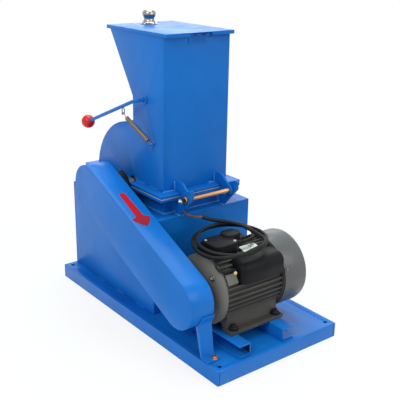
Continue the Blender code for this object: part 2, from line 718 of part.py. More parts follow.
def pillow_block(name, side):
    """A cast bearing block: a foot with two bolts, a round barrel and its shaft bore."""
    middle = AXIS_Y + side * BLOCK_OFFSET
    floor = HOUSING_TOP + GAP
    foot_top = floor + BLOCK_FOOT_HEIGHT
    half = BLOCK_FOOT_LENGTH / 2
    shoulder = math.asin((foot_top + 0.006 - ROTOR_Z) / BLOCK_BARREL_RADIUS)
    crown = arc((ROTOR_X, ROTOR_Z), BLOCK_BARREL_RADIUS, shoulder, math.pi - shoulder, 24)
    outline = [(ROTOR_X + half, floor), (ROTOR_X + half, foot_top), *crown,
               (ROTOR_X - half, foot_top), (ROTOR_X - half, floor)]
    bore = circle((ROTOR_X, ROTOR_Z), SHAFT_RADIUS + BLOCK_BORE_CLEARANCE, 24)
    block = side_plate(name, [outline, bore],
                       (middle - BLOCK_BARREL_WIDTH / 2, middle + BLOCK_BARREL_WIDTH / 2),
                       BLACK_IRON)
    foot = box(f"{name}_foot", (ROTOR_X - half, ROTOR_X + half),
               (middle - BLOCK_FOOT_WIDTH / 2, middle + BLOCK_FOOT_WIDTH / 2), (floor, foot_top))
    fuse(block, foot)
    for end in (-1, 1):
        x = ROTOR_X + end * BLOCK_BOLT_SPACING / 2
        fuse(block, cylinder(f"{name}_bolt_{end}", (x, middle, foot_top - 0.002), (0, 0, 1),
                             BLOCK_BOLT_HEAD, 0.010, sides=6))


def lower_ear_outline():
    """The bracket that carries the hinge rod; its tip stops the open cover."""
    foot = HOUSING_TOP + GAP
    edge = CASING_FRONT + EAR_FOOT_BACK
    size = EAR_SIZE
    under = LOWER_FLANGE_BOTTOM - 0.4 * size
    return [(edge - EAR_FOOT, foot), (edge, foot), (HINGE_X + 0.87 * size, HINGE_Z + 0.17 * size),
            (HINGE_X + 0.9 * size, HINGE_Z + size), (HINGE_X + 0.57 * size, HINGE_Z + 1.03 * size),
            (HINGE_X - 0.43 * size, HINGE_Z + 0.6 * size), (HINGE_X - 0.73 * size, HINGE_Z + 0.13 * size),
            (HINGE_X - 0.73 * size, under), (edge - EAR_FOOT, under)]


def upper_ear_outline():
    """The ear welded to the cover's front and its flange."""
    weld = CASING_FRONT - CASING_PLATE / 2
    seat = UPPER_FLANGE_TOP + GAP
    nose = FLANGE_FRONT + GAP
    size = EAR_SIZE
    bow = arc((HINGE_X, HINGE_Z), EAR_EDGE, math.radians(-90), math.radians(60), 8)
    return [(weld, seat), (nose, seat), (nose, HINGE_Z - 0.3 * EAR_EDGE),
            (HINGE_X - 0.77 * EAR_EDGE, HINGE_Z - EAR_EDGE), *bow,
            (HINGE_X - 0.53 * size, HINGE_Z + 0.83 * size), (HINGE_X - 1.03 * size, HINGE_Z + 1.27 * size),
            (weld + size / 3, HINGE_Z + 1.33 * size), (weld, HINGE_Z + 1.17 * size)]


def front_hinge(front):
    """The ears and the rod of the cover's hinge; the cover's own ears are welded to its front."""
    bore = circle((HINGE_X, HINGE_Z), HINGE_ROD_RADIUS + HINGE_ROD_CLEARANCE, 16)
    near = AXIS_Y - EAR_SPACING / 2
    far = AXIS_Y + EAR_SPACING / 2
    step = EAR_PLATE + EAR_SIDE_CLEARANCE
    outlines = [lower_ear_outline(), bore]
    side_plate("hinge_ear_near", outlines, (near, near + EAR_PLATE), BLUE)
    side_plate("hinge_ear_far", outlines, (far - EAR_PLATE, far), BLUE)
    outlines = [upper_ear_outline(), bore]
    fuse(front, side_plate("cover_ear_near", outlines, (near + step, near + step + EAR_PLATE)),
         side_plate("cover_ear_far", outlines, (far - step - EAR_PLATE, far - step)))
    rod = [(0, 0), (HINGE_HEAD_RADIUS, 0), (HINGE_HEAD_RADIUS, HINGE_HEAD_LENGTH),
           (HINGE_ROD_RADIUS, HINGE_HEAD_LENGTH),
           (HINGE_ROD_RADIUS, HINGE_HEAD_LENGTH + EAR_SPACING + 2 * GAP),
           (HINGE_HEAD_RADIUS, HINGE_HEAD_LENGTH + EAR_SPACING + 2 * GAP),
           (HINGE_HEAD_RADIUS, 2 * HINGE_HEAD_LENGTH + EAR_SPACING + 2 * GAP),
           (0, 2 * HINGE_HEAD_LENGTH + EAR_SPACING + 2 * GAP)]
    turned("hinge_rod", rod, (HINGE_X, near - GAP - HINGE_HEAD_LENGTH, HINGE_Z), (0, 1, 0),
           COPPER_ZINC, sides=16)


def shaft_tab(floor):
    """The foot of a side plate at the shaft: a tab down to the parting line with a round notch."""
    reach = SHAFT_RADIUS + SHAFT_SEAL_CLEARANCE
    tab = FLANGE_SHAFT_GAP / 2 - GAP
    low = math.asin((UPPER_FLANGE_BOTTOM - ROTOR_Z) / reach)
    notch = arc((ROTOR_X, ROTOR_Z), reach, math.pi - low, low, 10)
    return [(ROTOR_X - tab, floor), (ROTOR_X - tab, UPPER_FLANGE_BOTTOM), *notch,
            (ROTOR_X + tab, UPPER_FLANGE_BOTTOM), (ROTOR_X + tab, floor)]


def cover():
    """The cover: casing and hopper in one, of two sides, a curve, a front and a bent back."""
    near = (CHAMBER_NEAR, CHAMBER_NEAR + CASING_PLATE)
    far = (CHAMBER_FAR - CASING_PLATE, CHAMBER_FAR)
    floor = UPPER_FLANGE_TOP + GAP
    front = CASING_FRONT - CASING_PLATE - GAP
    centre = (CASING_CENTRE_X, CASING_CENTRE_Z)
    rise = math.asin((floor - CASING_CENTRE_Z) / CASING_RADIUS)
    throat = math.acos((HOPPER_BACK - CASING_CENTRE_X) / CASING_RADIUS)
    curve = arc(centre, CASING_RADIUS, throat, math.pi - rise, 28)
    outline = [*shaft_tab(floor), (front, floor), (front, HOPPER_TOP), (HOPPER_TOP_BACK, HOPPER_TOP),
               (HOPPER_BACK, HOPPER_BEND_Z), *curve]
    for name, y, face, side in (("near", near, CHAMBER_NEAR, -1), ("far", far, CHAMBER_FAR, 1)):
        wall = side_plate(f"casing_{name}", [outline], y, BLUE)
        axis = (0, side, 0)
        foot = (LEVER_PIVOT_X, face - side * CASING_PLATE / 2, LEVER_PIVOT_Z)
        fuse(wall, cylinder(f"lever_boss_{name}", foot, axis, BOSS_RADIUS,
                            BOSS_LENGTH + CASING_PLATE / 2, sides=20))
        inside = (LEVER_PIVOT_X, face - side * 2 * CASING_PLATE, LEVER_PIVOT_Z)
        bore = cylinder(f"lever_bore_{name}", inside, axis, LEVER_RADIUS + BOSS_CLEARANCE,
                        BOSS_LENGTH + 4 * CASING_PLATE, sides=16)
        if side < 0:
            fuse(wall, cylinder("spring_stud", (STUD_X, face + CASING_PLATE / 2, STUD_Z), axis,
                                STUD_RADIUS, STUD_REACH + CASING_PLATE / 2, sides=12))
        cut(wall, bore)

    between = (near[1] + GAP, far[0] - GAP)
    inner = CASING_RADIUS - CASING_PLATE
    inner_rise = math.asin((floor - CASING_CENTRE_Z) / inner)
    inner_back = HOPPER_BACK + CASING_PLATE
    end = math.acos((inner_back - CASING_CENTRE_X) / CASING_RADIUS)
    inner_end = math.acos((inner_back - CASING_CENTRE_X) / inner)
    outline = arc(centre, CASING_RADIUS, end, math.pi - rise, 28)
    outline += arc(centre, inner, math.pi - inner_rise, inner_end, 28)
    side_plate("casing_curve", [outline], between, BLUE)

    front_hinge(box("casing_front", (CASING_FRONT - CASING_PLATE, CASING_FRONT),
                    (CHAMBER_NEAR, CHAMBER_FAR), (floor, HOPPER_TOP), BLUE))

    lean = math.atan2(HOPPER_BACK - HOPPER_TOP_BACK, HOPPER_TOP - HOPPER_BEND_Z)
    shift = CASING_PLATE / math.cos(lean)
    drop = (shift - CASING_PLATE) / math.tan(lean)
    foot = CASING_CENTRE_Z + math.sqrt(CASING_RADIUS ** 2 - (HOPPER_BACK - CASING_CENTRE_X) ** 2) + GAP
    outline = [(HOPPER_BACK, foot), (inner_back, foot), (inner_back, HOPPER_BEND_Z + drop),
               (HOPPER_TOP_BACK + shift, HOPPER_TOP), (HOPPER_TOP_BACK, HOPPER_TOP),
               (HOPPER_BACK, HOPPER_BEND_Z)]
    side_plate("hopper_back", [outline], between, BLUE)


def lid():
    """A shallow pan lid that turns about a wire hinge at its front."""
    back = HOPPER_TOP_BACK - LID_BACK_OVERHANG
    front = CASING_FRONT + LID_FRONT_OVERHANG
    near = CHAMBER_NEAR - LID_SIDE_OVERHANG
    far = CHAMBER_FAR + LID_SIDE_OVERHANG
    under = HOPPER_TOP + LID_CLEARANCE
    top = under + LID_SHEET
    pan = box("hopper_lid", (back, front), (near, far), (top - LID_SKIRT, top), BLUE)
    cut(pan, box("lid_hollow", (back + LID_SHEET, front - LID_SHEET),
                 (near + LID_SHEET, far - LID_SHEET), (top - 2 * LID_SKIRT, under)))

    axis_x = CASING_FRONT + LEAF_THICKNESS + 0.0035
    axis_z = under - HINGE_BARREL_RADIUS - 0.001
    half = LEAF_WIDTH / 2
    clear = half + LID_TAB_CLEARANCE
    notch = clear + LID_TAB + LID_NOTCH_CLEARANCE
    cut(pan, box("lid_notch", (front - 2 * LID_SHEET, front + LID_SHEET),
                 (AXIS_Y - notch, AXIS_Y + notch), (top - 2 * LID_SKIRT, under)))
    for side in (-1, 1):
        low = AXIS_Y + side * clear
        high = AXIS_Y + side * (clear + LID_TAB)
        reach = HINGE_WIRE_RADIUS + 0.0018
        fuse(pan, box(f"lid_tab_{side}", (axis_x - reach, axis_x + reach), sorted((low, high)),
                      (axis_z - reach, under + LID_SHEET / 2)))
    wire = clear + LID_TAB / 2
    fuse(pan, cylinder("lid_wire", (axis_x, AXIS_Y - wire, axis_z), (0, 1, 0), HINGE_WIRE_RADIUS,
                       2 * wire, sides=12))

    leaf_top = axis_z - HINGE_BARREL_RADIUS / 2
    leaf_low = leaf_top - LEAF_HEIGHT
    slots = []
    for share in (0.32, 0.68):
        middle = leaf_low + LEAF_HEIGHT * share
        slots.append(rectangle((AXIS_Y - LEAF_SLOT_LENGTH / 2, AXIS_Y + LEAF_SLOT_LENGTH / 2),
                               (middle - LEAF_SLOT_HEIGHT / 2, middle + LEAF_SLOT_HEIGHT / 2)))
    outline = rectangle((AXIS_Y - half, AXIS_Y + half), (leaf_low, leaf_top))
    leaf = end_plate("lid_leaf", [outline, *slots],
                     (CASING_FRONT + GAP, CASING_FRONT + GAP + LEAF_THICKNESS), BLUE)
    sleeve = turned("leaf_barrel", [(HINGE_WIRE_RADIUS + HINGE_WIRE_CLEARANCE, 0),
                                    (HINGE_BARREL_RADIUS, 0), (HINGE_BARREL_RADIUS, LEAF_WIDTH),
                                    (HINGE_WIRE_RADIUS + HINGE_WIRE_CLEARANCE, LEAF_WIDTH)],
                    (axis_x, AXIS_Y - half, axis_z), (0, 1, 0), sides=16, closed=True)
    fuse(leaf, sleeve)

    ball_z = KNOB_HEIGHT - KNOB_BALL_RADIUS
    neck_radius = 0.008
    low = -math.acos(neck_radius / KNOB_BALL_RADIUS)
    cap = [(KNOB_BALL_RADIUS * math.cos(low + (math.pi / 2 - low) * i / 10),
            ball_z + KNOB_BALL_RADIUS * math.sin(low + (math.pi / 2 - low) * i / 10))
           for i in range(10)]
    profile = [(0, 0), (KNOB_BASE_RADIUS, 0), (KNOB_BASE_RADIUS, 0.0015),
               (KNOB_BASE_RADIUS * 0.7, 0.004), (neck_radius, 0.005), *cap, (0, KNOB_HEIGHT)]
    turned("lid_knob", profile, (HOPPER_TOP_BACK + KNOB_FROM_BACK - LID_BACK_OVERHANG, AXIS_Y, top + GAP),
           (0, 0, 1), BRIGHT_STEEL, sides=24)


def lever():
    """A bent rod through the hopper's throat, with a ball, a butterfly flap and a spring."""
    along = Vector((-math.cos(LEVER_SLOPE), 0, -math.sin(LEVER_SLOPE)))
    pivot = Vector((LEVER_PIVOT_X, LEVER_Y, LEVER_PIVOT_Z))
    far_end = Vector((LEVER_PIVOT_X, CHAMBER_FAR + LEVER_FAR_STICKOUT, LEVER_PIVOT_Z))
    across = Vector((0, 1, 0))
    centre = pivot + (across + along) * LEVER_BEND
    bend = [centre - across * LEVER_BEND * math.sin(a) - along * LEVER_BEND * math.cos(a)
            for a in (i * math.pi / 12 for i in range(7))]
    tip = pivot + along * (LEVER_LENGTH - LEVER_BALL_RADIUS - GAP)
    rod = tube("feed_lever", [far_end, *bend, tip], LEVER_RADIUS, BLUE, 4)
    ring_centre = pivot + along * RING_ALONG + Vector((0, 0, -RING_DROP))
    ring = [ring_centre + Vector((RING_RADIUS * math.cos(a), 0, RING_RADIUS * 1.5 * math.sin(a)))
            for a in (i * math.pi / 8 for i in range(16))]
    fuse(rod, tube("lever_ring", ring, RING_WIRE, None, 1, cyclic=True))
    ball("lever_ball", pivot + along * LEVER_LENGTH, LEVER_BALL_RADIUS, RED, rings=10)

    seat = LEVER_PIVOT_Z + LEVER_RADIUS + GAP
    side = CASING_PLATE + FLAP_SIDE_CLEARANCE
    box("feed_flap", (LEVER_PIVOT_X - FLAP_BACK, LEVER_PIVOT_X + FLAP_FRONT),
        (CHAMBER_NEAR + side, CHAMBER_FAR - side), (seat, seat + FLAP_PLATE), DARK_STEEL)

    low = Vector((STUD_X, CHAMBER_NEAR - STUD_REACH + 0.005, STUD_Z + STUD_RADIUS + GAP))
    high = ring_centre + Vector((0.002, 0, -RING_RADIUS * 1.5 - RING_WIRE - GAP))
    run = (high - low).normalized()
    length = (high - low).length
    spring = cylinder("return_spring", low + run * SPRING_HOOK, run, SPRING_RADIUS,
                      length - 2 * SPRING_HOOK, SPRING_STEEL, sides=12)
    fuse(spring, cylinder("spring_hooks", low + run * 0.002, run, SPRING_WIRE * 1.5,
                          length - 0.004, sides=8))


def clamp():
    """The swing bolt at the back, loosened and tipped clear of the cover's fingers."""
    floor = HOUSING_TOP + GAP
    bore = circle((CLAMP_X, CLAMP_Z), CLAMP_PIN_RADIUS + GAP, 12)
    crown = arc((CLAMP_X, CLAMP_Z), CLAMP_EAR_RADIUS, 0, math.pi, 10)
    outline = [(CLAMP_X + CLAMP_EAR_RADIUS, floor), *crown, (CLAMP_X - CLAMP_EAR_RADIUS, floor)]
    inner = CLAMP_EAR_GAP / 2
    outer = inner + CLAMP_EAR_PLATE
    side_plate("clamp_ear_near", [outline, bore], (AXIS_Y - outer, AXIS_Y - inner), BLUE)
    side_plate("clamp_ear_far", [outline, bore], (AXIS_Y + inner, AXIS_Y + outer), BLUE)
    head = CLAMP_HEAD_RADIUS
    reach = 2 * outer + 2 * GAP
    profile = [(0, 0), (head, 0), (head, CLAMP_HEAD_LENGTH), (CLAMP_PIN_RADIUS, CLAMP_HEAD_LENGTH),
               (CLAMP_PIN_RADIUS, CLAMP_HEAD_LENGTH + reach), (head, CLAMP_HEAD_LENGTH + reach),
               (head, 2 * CLAMP_HEAD_LENGTH + reach), (0, 2 * CLAMP_HEAD_LENGTH + reach)]
    turned("clamp_pin", profile, (CLAMP_X, AXIS_Y - outer - GAP - CLAMP_HEAD_LENGTH, CLAMP_Z),
           (0, 1, 0), BLACK_IRON, sides=12)

    pivot = Vector((CLAMP_X, AXIS_Y, CLAMP_Z))
    up = Vector((-math.sin(CLAMP_TILT), 0, math.cos(CLAMP_TILT)))
    bolt = cylinder("swing_bolt", pivot, up, CLAMP_BOLT_RADIUS, CLAMP_SEAT + CLAMP_COLLAR_LENGTH,
                    DARK_STEEL, sides=16)
    fuse(bolt, cylinder("bolt_eye", pivot - Vector((0, CLAMP_EYE_WIDTH / 2, 0)), (0, 1, 0),
                        CLAMP_EYE_RADIUS, CLAMP_EYE_WIDTH, sides=20))
    cut(bolt, cylinder("eye_bore", pivot - Vector((0, CLAMP_EYE_WIDTH, 0)), (0, 1, 0),
                       CLAMP_PIN_RADIUS + GAP, 2 * CLAMP_EYE_WIDTH, sides=12))
    bore_radius = CLAMP_BOLT_RADIUS + GAP
    end = CLAMP_COLLAR_LENGTH + CLAMP_KNOB_LENGTH
    knob = [(bore_radius, 0), (CLAMP_COLLAR_RADIUS, 0), (CLAMP_COLLAR_RADIUS, CLAMP_COLLAR_LENGTH),
            (CLAMP_KNOB_RADIUS - KNOB_CHAMFER, CLAMP_COLLAR_LENGTH),
            (CLAMP_KNOB_RADIUS, CLAMP_COLLAR_LENGTH + KNOB_CHAMFER),
            (CLAMP_KNOB_RADIUS, end - KNOB_CHAMFER), (CLAMP_KNOB_RADIUS - KNOB_CHAMFER, end),
            (0, end), (0, CLAMP_COLLAR_LENGTH + GAP), (bore_radius, CLAMP_COLLAR_LENGTH + GAP)]
    turned("clamp_knob", knob, pivot + up * CLAMP_SEAT, up, ZINC, sides=24, closed=True)


def spoke(angle, radius):
    """A place on the rotor, as X and Z."""
    return (ROTOR_X + radius * math.cos(angle), ROTOR_Z + radius * math.sin(angle))


def rotor():
    """Shaft, drum and discs in one, two tie rods with their nuts and two hammer rods."""
    near_end = PULLEY_START
    far_end = AXIS_Y + BLOCK_OFFSET + BLOCK_BARREL_WIDTH / 2 + SHAFT_STICKOUT
    near_disc = AXIS_Y - DISC_SPACING / 2
    far_disc = AXIS_Y + DISC_SPACING / 2
    profile = [(0, near_end), (SHAFT_RADIUS, near_end), (SHAFT_RADIUS, near_disc),
               (DISC_RADIUS, near_disc), (DISC_RADIUS, near_disc + DISC_PLATE),
               (DRUM_RADIUS, near_disc + DISC_PLATE), (DRUM_RADIUS, far_disc - DISC_PLATE),
               (DISC_RADIUS, far_disc - DISC_PLATE), (DISC_RADIUS, far_disc),
               (SHAFT_RADIUS, far_disc), (SHAFT_RADIUS, far_end), (0, far_end)]
    shaft = turned("rotor_shaft", profile, (ROTOR_X, 0, ROTOR_Z), (0, 1, 0), BRIGHT_STEEL, sides=32)

    reach = DISC_SPACING + 2 * GAP
    start = near_disc - GAP - ROD_HEAD_LENGTH
    plain = [(0, 0), (ROD_HEAD_RADIUS, 0), (ROD_HEAD_RADIUS, ROD_HEAD_LENGTH),
             (ROD_RADIUS, ROD_HEAD_LENGTH), (ROD_RADIUS, ROD_HEAD_LENGTH + reach),
             (ROD_HEAD_RADIUS, ROD_HEAD_LENGTH + reach),
             (ROD_HEAD_RADIUS, 2 * ROD_HEAD_LENGTH + reach), (0, 2 * ROD_HEAD_LENGTH + reach)]
    rods = ("hammer_rod_a", "tie_rod_a", "hammer_rod_b", "tie_rod_b")
    for quarter, name in enumerate(rods):
        x, z = spoke(quarter * math.pi / 2, ROD_CIRCLE)
        cut(shaft, cylinder(f"{name}_hole", (x, near_disc - 0.01, z), (0, 1, 0),
                            ROD_RADIUS + ROD_CLEARANCE, DISC_SPACING + 0.02, sides=12))
        tie = name.startswith("tie")
        rod = turned(name, plain, (x, start, z), (0, 1, 0), ZINC if tie else DARK_STEEL, sides=12)
        if tie:
            for side in (-1, 1):
                y = AXIS_Y + side * ROD_NUT_SPACING / 2 - ROD_NUT_LENGTH / 2
                fuse(rod, cylinder(f"{name}_nut_{side}", (x, y, z), (0, 1, 0), ROD_NUT_RADIUS,
                                   ROD_NUT_LENGTH, sides=6))
    hammer("hammer_a", 0, -HAMMER_LEAN)
    hammer("hammer_b", math.pi, HAMMER_LEAN)


def hammer(name, angle, lean):
    """Two arms on a hammer rod, carrying a wide flat bar."""
    x, z = spoke(angle, ROD_CIRCLE)
    heading = angle + lean
    turn = Matrix.Translation((x, 0, z)) @ Matrix.Rotation(-heading, 4, "Y")
    half = ARM_WIDTH / 2
    root = arc((0, 0), half, math.pi / 2, 3 * math.pi / 2, 10)
    end = ARM_LENGTH - HAMMER_BAR_DEPTH / 2
    arm = [*root, (end + 0.001, -half), (end + 0.001, half)]
    bore = circle((0, 0), ROD_RADIUS + ROD_CLEARANCE, 12)
    inner = DISC_SPACING / 2 - DISC_PLATE - ARM_INSET
    low = end
    high = end + HAMMER_BAR_DEPTH
    bar = box(name, (low, high), (AXIS_Y - HAMMER_BAR_LENGTH / 2, AXIS_Y + HAMMER_BAR_LENGTH / 2),
              (-HAMMER_BAR_HEIGHT / 2, HAMMER_BAR_HEIGHT / 2), DARK_STEEL)
    bar.matrix_local = turn
    for side in (-1, 1):
        y = sorted((AXIS_Y + side * inner, AXIS_Y + side * (inner - ARM_PLATE)))
        piece = side_plate(f"{name}_arm_{side}", [arm, bore], y)
        piece.matrix_local = turn
        fuse(bar, piece)


def grooved_profile(radius, length, bore):
    """A turned pulley with two belt grooves, from its near face; a bore of 0 leaves it solid."""
    middle = length / 2
    profile = [(bore, 0), (radius, 0)]
    for side in (-1, 1):
        centre = middle + side * GROOVE_SPACING / 2
        profile += [(radius, centre - GROOVE_TOP / 2),
                    (radius - GROOVE_DEPTH, centre - GROOVE_BOTTOM / 2),
                    (radius - GROOVE_DEPTH, centre + GROOVE_BOTTOM / 2),
                    (radius, centre + GROOVE_TOP / 2)]
    return profile + [(radius, length)]


def belt_drive():
    """Two pulleys and two V-belts inside a sheet guard that is open towards the machine."""
    profile = grooved_profile(ROTOR_PULLEY_RADIUS, PULLEY_WIDTH, SHAFT_RADIUS + GAP)
    profile.append((SHAFT_RADIUS + GAP, PULLEY_WIDTH))
    turned("rotor_pulley", profile, (ROTOR_X, PULLEY_START, ROTOR_Z), (0, 1, 0), BLACK_IRON,
           sides=24, closed=True)
    profile = grooved_profile(MOTOR_PULLEY_RADIUS, PULLEY_WIDTH, 0)
    reach = BELL_START - GAP - PULLEY_START
    profile += [(MOTOR_SHAFT_RADIUS, PULLEY_WIDTH), (MOTOR_SHAFT_RADIUS, reach), (0, reach)]
    turned("motor_pulley", profile, (MOTOR_X, PULLEY_START, MOTOR_Z), (0, 1, 0), BLACK_IRON,
           sides=24)

    slope = (GROOVE_TOP - GROOVE_BOTTOM) / GROOVE_DEPTH
    sunk = 0.0012
    half_top = (GROOVE_TOP - slope * sunk) / 2 - BELT_CLEARANCE
    half_low = (GROOVE_TOP - slope * (sunk + BELT_HEIGHT)) / 2 - BELT_CLEARANCE
    for side in (-1, 1):
        y = PULLEY_START + PULLEY_WIDTH / 2 + side * GROOVE_SPACING / 2
        shape = bmesh.new()
        rings = []
        for offset, width in ((sunk, half_top), (sunk + BELT_HEIGHT, half_low)):
            path = obround((ROTOR_X, ROTOR_Z), (MOTOR_X, MOTOR_Z), ROTOR_PULLEY_RADIUS - offset,
                           MOTOR_PULLEY_RADIUS - offset, 20)
            for edge in (y - width, y + width):
                rings.append([shape.verts.new((px, edge, pz)) for px, pz in path])
        count = len(rings[0])
        for first, second in ((0, 1), (1, 3), (3, 2), (2, 0)):
            for i in range(count):
                k = (i + 1) % count
                shape.faces.new((rings[first][i], rings[second][i], rings[second][k], rings[first][k]))
        bmesh.ops.recalc_face_normals(shape, faces=shape.faces)
        mesh = bpy.data.meshes.new("belt")
        shape.to_mesh(mesh)
        shape.free()
        add("drive_belt_outer" if side < 0 else "drive_belt_inner", mesh, RUBBER)

    face = GUARD_FACE_Y
    outer = obround(GUARD_UPPER, GUARD_LOWER, GUARD_RADIUS, GUARD_RADIUS, 20)
    inner_radius = GUARD_RADIUS - GUARD_SHEET
    inner = obround(GUARD_UPPER, GUARD_LOWER, inner_radius, inner_radius, 20)
    guard = side_plate("belt_guard", [outer], (face, face + GUARD_DEPTH), BLUE)
    cut(guard, side_plate("guard_hollow", [inner], (face + GUARD_SHEET, face + GUARD_DEPTH + 0.01)))

    foot_z = BASE_HEIGHT + GAP
    near = -BASE_WIDTH / 2 + 0.002
    width = (near, near + STRAP_WIDTH)
    heel = STRAP_FOOT_X
    toe = heel + STRAP_FOOT_LENGTH
    ray = math.radians(-52)
    seat = GUARD_RADIUS + GAP
    touch = (GUARD_LOWER[0] + seat * math.cos(ray), GUARD_LOWER[1] + seat * math.sin(ray))
    top_ray = math.radians(-18)
    outer_seat = GUARD_RADIUS + STRAP_SHEET
    rest = arc(GUARD_LOWER, seat, ray, top_ray, 6)
    back = arc(GUARD_LOWER, outer_seat, top_ray, math.radians(-38), 4)
    outline = [(heel, foot_z), (toe, foot_z), (toe, foot_z + STRAP_SHEET),
               (heel + STRAP_SHEET, foot_z + STRAP_SHEET), *reversed(back), *reversed(rest),
               (touch[0], touch[1] - 0.001)]
    side_plate("guard_strap", [outline], width, BLUE)


def motor():
    """A foot-mounted single-phase motor: finned body, bells, fan cover, box and capacitors."""
    centre = (MOTOR_X, MOTOR_Z)
    fins = []
    for i in range(FIN_COUNT):
        step = 2 * math.pi / FIN_COUNT
        edge = step * FIN_SHARE / 2
        for turn, radius in ((-edge, BODY_RADIUS), (-edge, FIN_RADIUS), (edge, FIN_RADIUS),
                             (edge, BODY_RADIUS)):
            a = step * i + turn
            fins.append((centre[0] + radius * math.cos(a), centre[1] + radius * math.sin(a)))
    body = side_plate("motor_body", [fins], (BODY_START, BODY_START + BODY_LENGTH), MOTOR_GREY)
    foot_y = (FOOT_START, FOOT_START + FOOT_LENGTH)
    for side in (-1, 1):
        outer = MOTOR_X + side * FOOT_SPAN / 2
        inner = outer - side * FOOT_PAD
        pad = box(f"motor_pad_{side}", sorted((outer, inner)), foot_y,
                  (MOTOR_FOOT_Z, MOTOR_FOOT_Z + FOOT_HEIGHT))
        leg = [(inner, MOTOR_FOOT_Z + 0.001), (outer - side * 0.022, MOTOR_FOOT_Z + FOOT_HEIGHT - 0.001),
               (outer - side * 0.026, MOTOR_Z - 0.040), (MOTOR_X + side * 0.035, MOTOR_Z - 0.050),
               (MOTOR_X + side * 0.045, MOTOR_FOOT_Z + 0.022)]
        rib = side_plate(f"motor_leg_{side}", [leg], (foot_y[0] + 0.004, foot_y[1] - 0.004))
        fuse(body, pad, rib)
        for y in (foot_y[0] + FOOT_BOLT_INSET, foot_y[1] - FOOT_BOLT_INSET):
            spot = (outer - side * FOOT_PAD / 3, y, MOTOR_FOOT_Z + FOOT_HEIGHT - 0.001)
            fuse(body, cylinder(f"motor_bolt_{side}_{y:.3f}", spot, (0, 0, 1), 0.0095, 0.008, sides=6))

    spigot = BODY_START + BODY_LENGTH
    fuse(body, cylinder("fan_end", (MOTOR_X, spigot - SPIGOT_LAP, MOTOR_Z), (0, 1, 0),
                        FAN_COVER_RADIUS - FAN_COVER_SHEET - GAP, SPIGOT_LAP + SPIGOT_LENGTH,
                        sides=40))

    bell_end = BODY_START - GAP - BELL_START
    bell = [(MOTOR_SHAFT_RADIUS + 0.001, 0), (BELL_NOSE_RADIUS * 0.55, 0), (BELL_NOSE_RADIUS * 0.6, 0.008),
            (BELL_NOSE_RADIUS, 0.010), (BELL_RADIUS * 0.86, 0.018), (BELL_RADIUS, 0.028),
            (BELL_RADIUS, bell_end), (MOTOR_SHAFT_RADIUS + 0.001, bell_end)]
    turned("motor_bell", bell, (MOTOR_X, BELL_START, MOTOR_Z), (0, 1, 0), BELL_GREY, closed=True)

    start = spigot + GAP
    depth = FAN_COVER_END - start
    outer = FAN_COVER_RADIUS
    t = FAN_COVER_SHEET
    bow = arc((outer - FAN_COVER_ROUND, depth - FAN_COVER_ROUND), FAN_COVER_ROUND, 0, math.pi / 2, 3)
    inside = arc((outer - FAN_COVER_ROUND, depth - FAN_COVER_ROUND), FAN_COVER_ROUND - t, math.pi / 2, 0, 3)
    profile = [(outer, 0), *bow, (0, depth), (0, depth - t), *inside, (outer - t, 0)]
    cover_item = turned("fan_cover", profile, (MOTOR_X, start, MOTOR_Z), (0, 1, 0), COVER_GREY,
                        sides=40, closed=True)
    for ring in range(FAN_GRILLE_RINGS):
        radius = FAN_GRILLE_HUB + ring * FAN_GRILLE_PITCH
        for part in range(FAN_GRILLE_SPOKES):
            step = 2 * math.pi / FAN_GRILLE_SPOKES
            low = step * part + 0.004 / radius
            high = step * (part + 1) - 0.004 / radius
            slot = arc(centre, radius, low, high, 4)
            slot += arc(centre, radius + FAN_GRILLE_SLOT, high, low, 4)
            cut(cover_item, side_plate(f"fan_slot_{ring}_{part}", [slot],
                                       (FAN_COVER_END - 0.006, FAN_COVER_END + 0.004)))

    seat = cylinder("body_clearance", (MOTOR_X, BODY_START - 0.02, MOTOR_Z), (0, 1, 0),
                    FIN_RADIUS + GAP, BODY_LENGTH + 0.04, sides=FIN_COUNT)
    floor = MOTOR_Z + FIN_RADIUS * 0.8
    pieces = []
    for name, across, along, rise, look in (
            ("terminal_box", BOX_ACROSS, BOX_Y, BOX_RISE, PLASTIC_BLACK),
            ("box_hump", HUMP_ACROSS, HUMP_Y, HUMP_RISE, None)):
        outline = rounded(rectangle((MOTOR_X + across[0], MOTOR_X + across[1]), along), BOX_ROUND, 4)
        pieces.append(flat_plate(name, [outline], (floor, MOTOR_Z + rise), look))
    cut(fuse(*pieces), seat)
    for name, side in (("run_capacitor", 1), ("start_capacitor", -1)):
        cut(loft(name, capacitor_sections(side), PLASTIC_BLACK), seat)
    cylinder("cable_gland", gland_place(0), (0, 1, 0), GLAND_RADIUS, GLAND_LENGTH, PLASTIC_BLACK,
             sides=12)


def gland_place(beyond):
    """A point on the cable gland's axis, from its face on the terminal box."""
    return Vector((MOTOR_X + BOX_ACROSS[1] - GLAND_INSET, BOX_Y[1] + GAP + beyond,
                   MOTOR_Z + BOX_RISE - GLAND_DROP))


